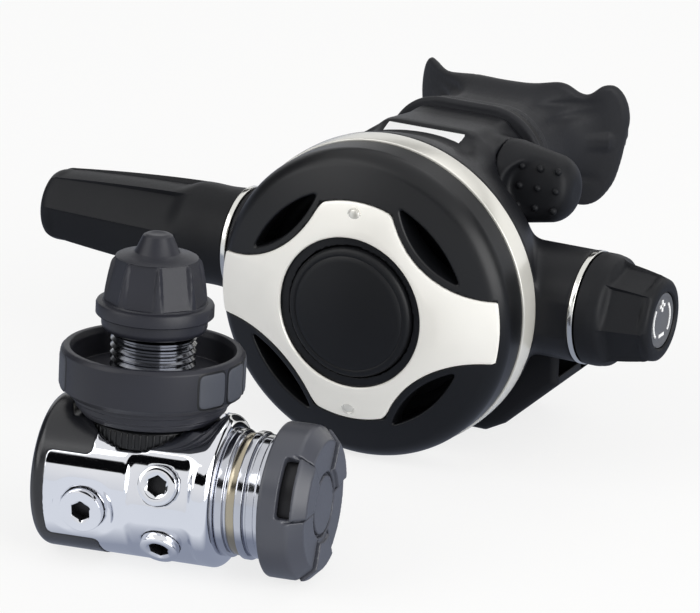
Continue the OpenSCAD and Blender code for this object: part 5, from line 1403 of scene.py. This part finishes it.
def padMesh(half, low, high, rise, columns=36):
    # A softly crowned pad on the wheel's rim, round-cornered and closed behind.
    turn = np.arange(columns) * 2 * math.pi / columns
    across = np.sign(np.cos(turn)) * np.abs(np.cos(turn)) ** wheel["padRound"]
    upward = np.sign(np.sin(turn)) * np.abs(np.sin(turn)) ** wheel["padRound"]
    crown = ((0.02, 1), (0.5, 0.99), (0.86, 0.93), (0.94, 0.75), (0.985, 0.4), (1.0, 0.0))
    rows = []
    for share, height in [(a, rise * b) for a, b in crown] + [(1.0, wheel["foot"])]:
        y, z = half * share * across, (low + high) / 2 + (high - low) / 2 * share * upward
        rows.append(np.stack((np.sqrt((wheel["radius"] + height) ** 2 - y * y), y, z), -1))
    count = len(rows) * columns
    ends = [list(range(columns)), list(range(count - columns, count))]
    return meshOf(np.concatenate(rows), gridFaces(len(rows), columns, closedRows=False) + ends)


def makeWheel():
    s = wheel
    r, low, bottom, top, hub, frame = s["radius"], s["low"], s["bottom"], s["top"], s["hub"], s["frame"]
    outline = [(hub, s["recessTop"]), (s["recess"], s["recessTop"]), (s["recess"], low + 0.2)]
    outline += [(r - inside, low + above) for inside, above in s["skirt"]]
    outline += [(r - 3.0, bottom), (r - 2.0, bottom), (r, bottom + 1.8), (r, top - 1), (r - 0.8, top), (r - 2.2, top),
        (r - 2.9, top - 1.5), (r - 3.4, s["floor"]), (hub, s["floor"])]
    mesh = lathe(softened(outline, 0.3), "z", 160)
    finishPiece("handwheel", mesh, "wheelNylon", "handwheel", "handwheel", "wheel_nylon", sharp=35)
    values = {"Count": s["pads"], "Start": math.radians(s["firstPad"]), "Step": math.radians(s["padStep"]),
        "Radius": 0.0}
    half, padLow, padHigh = s["padHalf"], s["padLow"], s["padHigh"]
    for name, unit, finish, node, slot in (
            ("gripPads", padMesh(half, padLow, padHigh, s["padRise"]), "gripRubber", "wheel_grips", "grip_rubber"),
            ("padFrames", padMesh(half + frame, padLow - frame, padHigh + frame, s["frameRise"]), "satinNylon", None,
                "wheel_nylon")):
        finishPiece(name, grown(ringTree, finish, values, unit), finish, "handwheel", node, slot)


def makeBase():
    s = base
    bore, r, low, high = s["bore"], s["radius"], s["from"], s["to"]
    outline = [(bore, low), (r - 0.2, low), (r, low + 0.2), (r, high - 0.5), (r - 0.5, high), (bore, high)]
    rib = lathe([(0, 12.9), (0.3, 12.9), (0.4, 13.1), (0.4, 16.7), (0.3, 16.95), (0, 17.0)], "z", 10)
    values = {"Count": s["ribs"], "Start": 0.0, "Step": 2 * math.pi / s["ribs"], "Radius": s["ribRadius"]}
    mesh = joined([lathe(softened(outline, 0.2), "z"), grown(ringTree, "satinNylon", values, rib)])
    finishPiece("baseRing", mesh, "satinNylon", "first_stage", "base_ring", "wheel_nylon")


def makeThread():
    s = thread
    core, bore, end, flange = s["core"], s["bore"], s["end"], s["flange"]
    outline = [(bore, s["flangeFrom"]), (flange, s["flangeFrom"]), (flange, s["flangeTo"]), (core, s["flangeTo"]),
        (core, end - 0.9), (core - 0.6, end), (bore + 0.2, end), (bore, end - 0.2)]
    length = s["to"] - s["from"]
    values = {"Turns": length / s["pitch"], "Radius": core, "Length": length, "Wire": s["crest"] - core, "Sides": 4,
        "Steps": 64}
    # The thread's chrome is drawn darker: painted shade and dark reflection from the cap and wheel.
    ridge = grown(coilTree, "paintedShadeThreadChrome", values)
    ridge.transform(Matrix.Translation((0, 0, s["from"])))
    mesh = joined([lathe(outline, "z"), ridge])
    finishPiece("dinThread", mesh, "paintedShadeThreadChrome", "handwheel", "din_thread", "chromed_brass", sharp=30)


def arcOf(radius, along, wide, high, first, last, count):
    turns = np.radians(np.linspace(first, last, count))
    return [(radius + wide * math.cos(a), along + high * math.sin(a)) for a in turns]


def makeShield():
    # The protector cap, from its rolled lip over a flange, a faceted body and a nipple to the socket inside.
    s = shield
    low, top, facetFrom = s["bottom"], s["top"], s["facetFrom"]
    shoulder = low + s["shoulder"]
    outline = [(s["bore"], low), (s["bore"] + 0.7, low)] + arcOf(12.15, low + 1.95, 1.95, 1.95, -70, 0, 7)
    outline += [(radius, low + above) for radius, above in s["flange"]]
    for f in np.linspace(0, 1, 14):
        outline.append((13.68 - 1.5 * f ** 1.4, facetFrom + 0.05 + (shoulder - facetFrom) * f))
    outline += arcOf(9.5, shoulder, 2.6, 2.4, 15, 72, 8)
    outline += [*s["nipple"], (2.2, top), (1.9, top - 0.1), (0, top - 0.1), (0, top - s["socketDeep"]),
        (6.6, top - s["socketDeep"]), *s["socket"]]

    def facets(turn, radius, along):
        part = 2 * math.pi / s["facets"]
        away = (turn + part / 2) % part - part / 2
        limit = (s["facetAt"] - s["facetLean"] * (along - facetFrom)) / np.cos(away)
        side = np.clip((s["facetHalf"] - np.abs(radius * np.sin(away))) / s["facetRamp"], 0, 1)
        within = (along > facetFrom) & (along < s["facetTo"]) & (radius > s["facetInside"])
        return radius + np.where(within, np.minimum(limit - radius, 0) * side, 0)

    mesh = lathe(outline, "z", 320, facets)
    finishPiece("protectorCap", mesh, "wheelNylon", "protector_cap", "protector_cap", "shield_plastic", sharp=28)


def makeStud():
    mesh = lathe(softened(stud["outline"], stud["edge"], 3), "z", 96)
    finishPiece("dinStud", mesh, "chrome", "first_stage", "din_stud", "chromed_brass")
    mesh = torus(**stud["seal"], axis="z")
    finishPiece("dinSeal", mesh, "nitrile", "first_stage", "din_o_ring", "seal_rubber")


makeWheel()
makeBase()
makeThread()
makeShield()
makeStud()
print("handwheel, thread and protector cap made")

# Springs start at a point and run along X or Y. Those with a joint list its travel and the held end, towards which they
# would shorten, but nothing here shortens them.
springs = {
    "purgeSpring": {"node": "purge_spring", "body": "second_stage", "along": "y", "start": -40.07, "length": 6.8,
        "radius": 15.25, "wire": 0.45, "turns": 4.0, "joint": "purge_press", "held": 1.0, "travel": 4.0},
    # The poppet presses this spring from one end and the adjusting spindle from the other, so each half has a joint.
    "poppetSpring": {"node": "poppet_spring", "body": "second_stage", "along": "x", "start": 14.1, "length": 9.4,
        "radius": 3.7, "wire": 0.5, "turns": 4.0, "joint": "poppet_open", "held": 1.0, "travel": 1.2},
    "poppetSpringFar": {"node": None, "body": "second_stage", "along": "x", "start": 22.5, "length": 9.4,
        "radius": 3.7, "wire": 0.5, "turns": 4.0, "joint": "spindle_feed", "held": 0.0, "travel": 2.0},
    "seatPoppetSpring": {"node": "seat_poppet_spring", "body": "first_stage", "along": "x", "start": -18.1,
        "length": 17.9, "radius": 4.1, "wire": 0.55, "turns": 6.0, "joint": "seat_poppet_open", "held": 0.0,
        "travel": 0.8},
    "mainSpring": {"node": "main_spring", "body": "first_stage", "along": "x", "start": 19.2, "length": 16.7,
        "radius": 8.8, "wire": 1.3, "turns": 5.0, "joint": None},
}
# Flat silicone discs in the first stage: node, from, to and radius.
discs = {
    "mainDiaphragm": ("main_diaphragm", 16.06, 16.98, 14.8),
    "dryDiaphragm": ("dry_diaphragm", 43.06, 43.94, 14.85),
}
# The o-ring on the adjusting spindle.
spindleSeal = {"ring": 4.95, "thick": 0.44, "at": 40.7}
springAxes = {
    "x": (Vector((1, 0, 0)), Matrix.Rotation(math.pi / 2, 4, "Y")),
    "y": (Vector((0, 1, 0)), Matrix.Rotation(-math.pi / 2, 4, "X")),
}


def makeSprings():
    for name, s in springs.items():
        values = {"Turns": s["turns"], "Radius": s["radius"], "Length": s["length"] - 2 * s["wire"], "Wire": s["wire"],
            "Sides": 10, "Steps": 36}
        mesh = grown(coilTree, "springSteel", values)
        axis, turn = springAxes[s["along"]]
        mesh.transform(Matrix.Translation(axis * (s["start"] + s["wire"])) @ turn)
        piece = finishPiece(name, mesh, "springSteel", s["body"], s["node"], "spring_steel")
        if s["joint"]:
            place = placeOf(s["body"])
            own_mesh(piece)


def makeSoftDiscs():
    for name, (node, start, end, radius) in discs.items():
        mesh = lathe(softened([(0, start), (radius, start), (radius, end), (0, end)], 0.2), "x", 96)
        piece = finishPiece(name, mesh, "silicone", "first_stage", node, "diaphragm_silicone")
        if node == "main_diaphragm":
            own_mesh(piece)
    mesh = torus(**spindleSeal, axis="x")
    finishPiece("spindleSeal", mesh, "nitrile", "adjust_spindle", "spindle_o_ring", "seal_rubber")


# Machined and moulded parts inside keep the frame's own shapes: welded, with crisp edges and a real finish.
innerFinishes = {
    "brass": ["orifice", "adjust_spindle", "seat_crown", "balance_plug", "spring_adjuster"],
    "chrome": ["valve_barrel", "inlet_fitting"],
    "polishedSteel": ["demand_lever", "lifter_pad", "lever_pin"],
    "sinteredBronze": ["din_filter"],
    "acetal": ["poppet", "seat_poppet", "airway_vane"],
}


def finishInside():
    for finish, names in innerFinishes.items():
        for name in names:
            part = nodes[name]
            part.data.materials.clear()
            part.data.materials.append(materials[finish])
            part.data.shade_smooth()
            part.modifiers.new("weld", "WELD").merge_threshold = 1e-6
            part.modifiers.new("edges", "EDGE_SPLIT").split_angle = math.radians(30)


makeSprings()
makeSoftDiscs()
finishInside()
print("springs, soft discs and inner parts made")
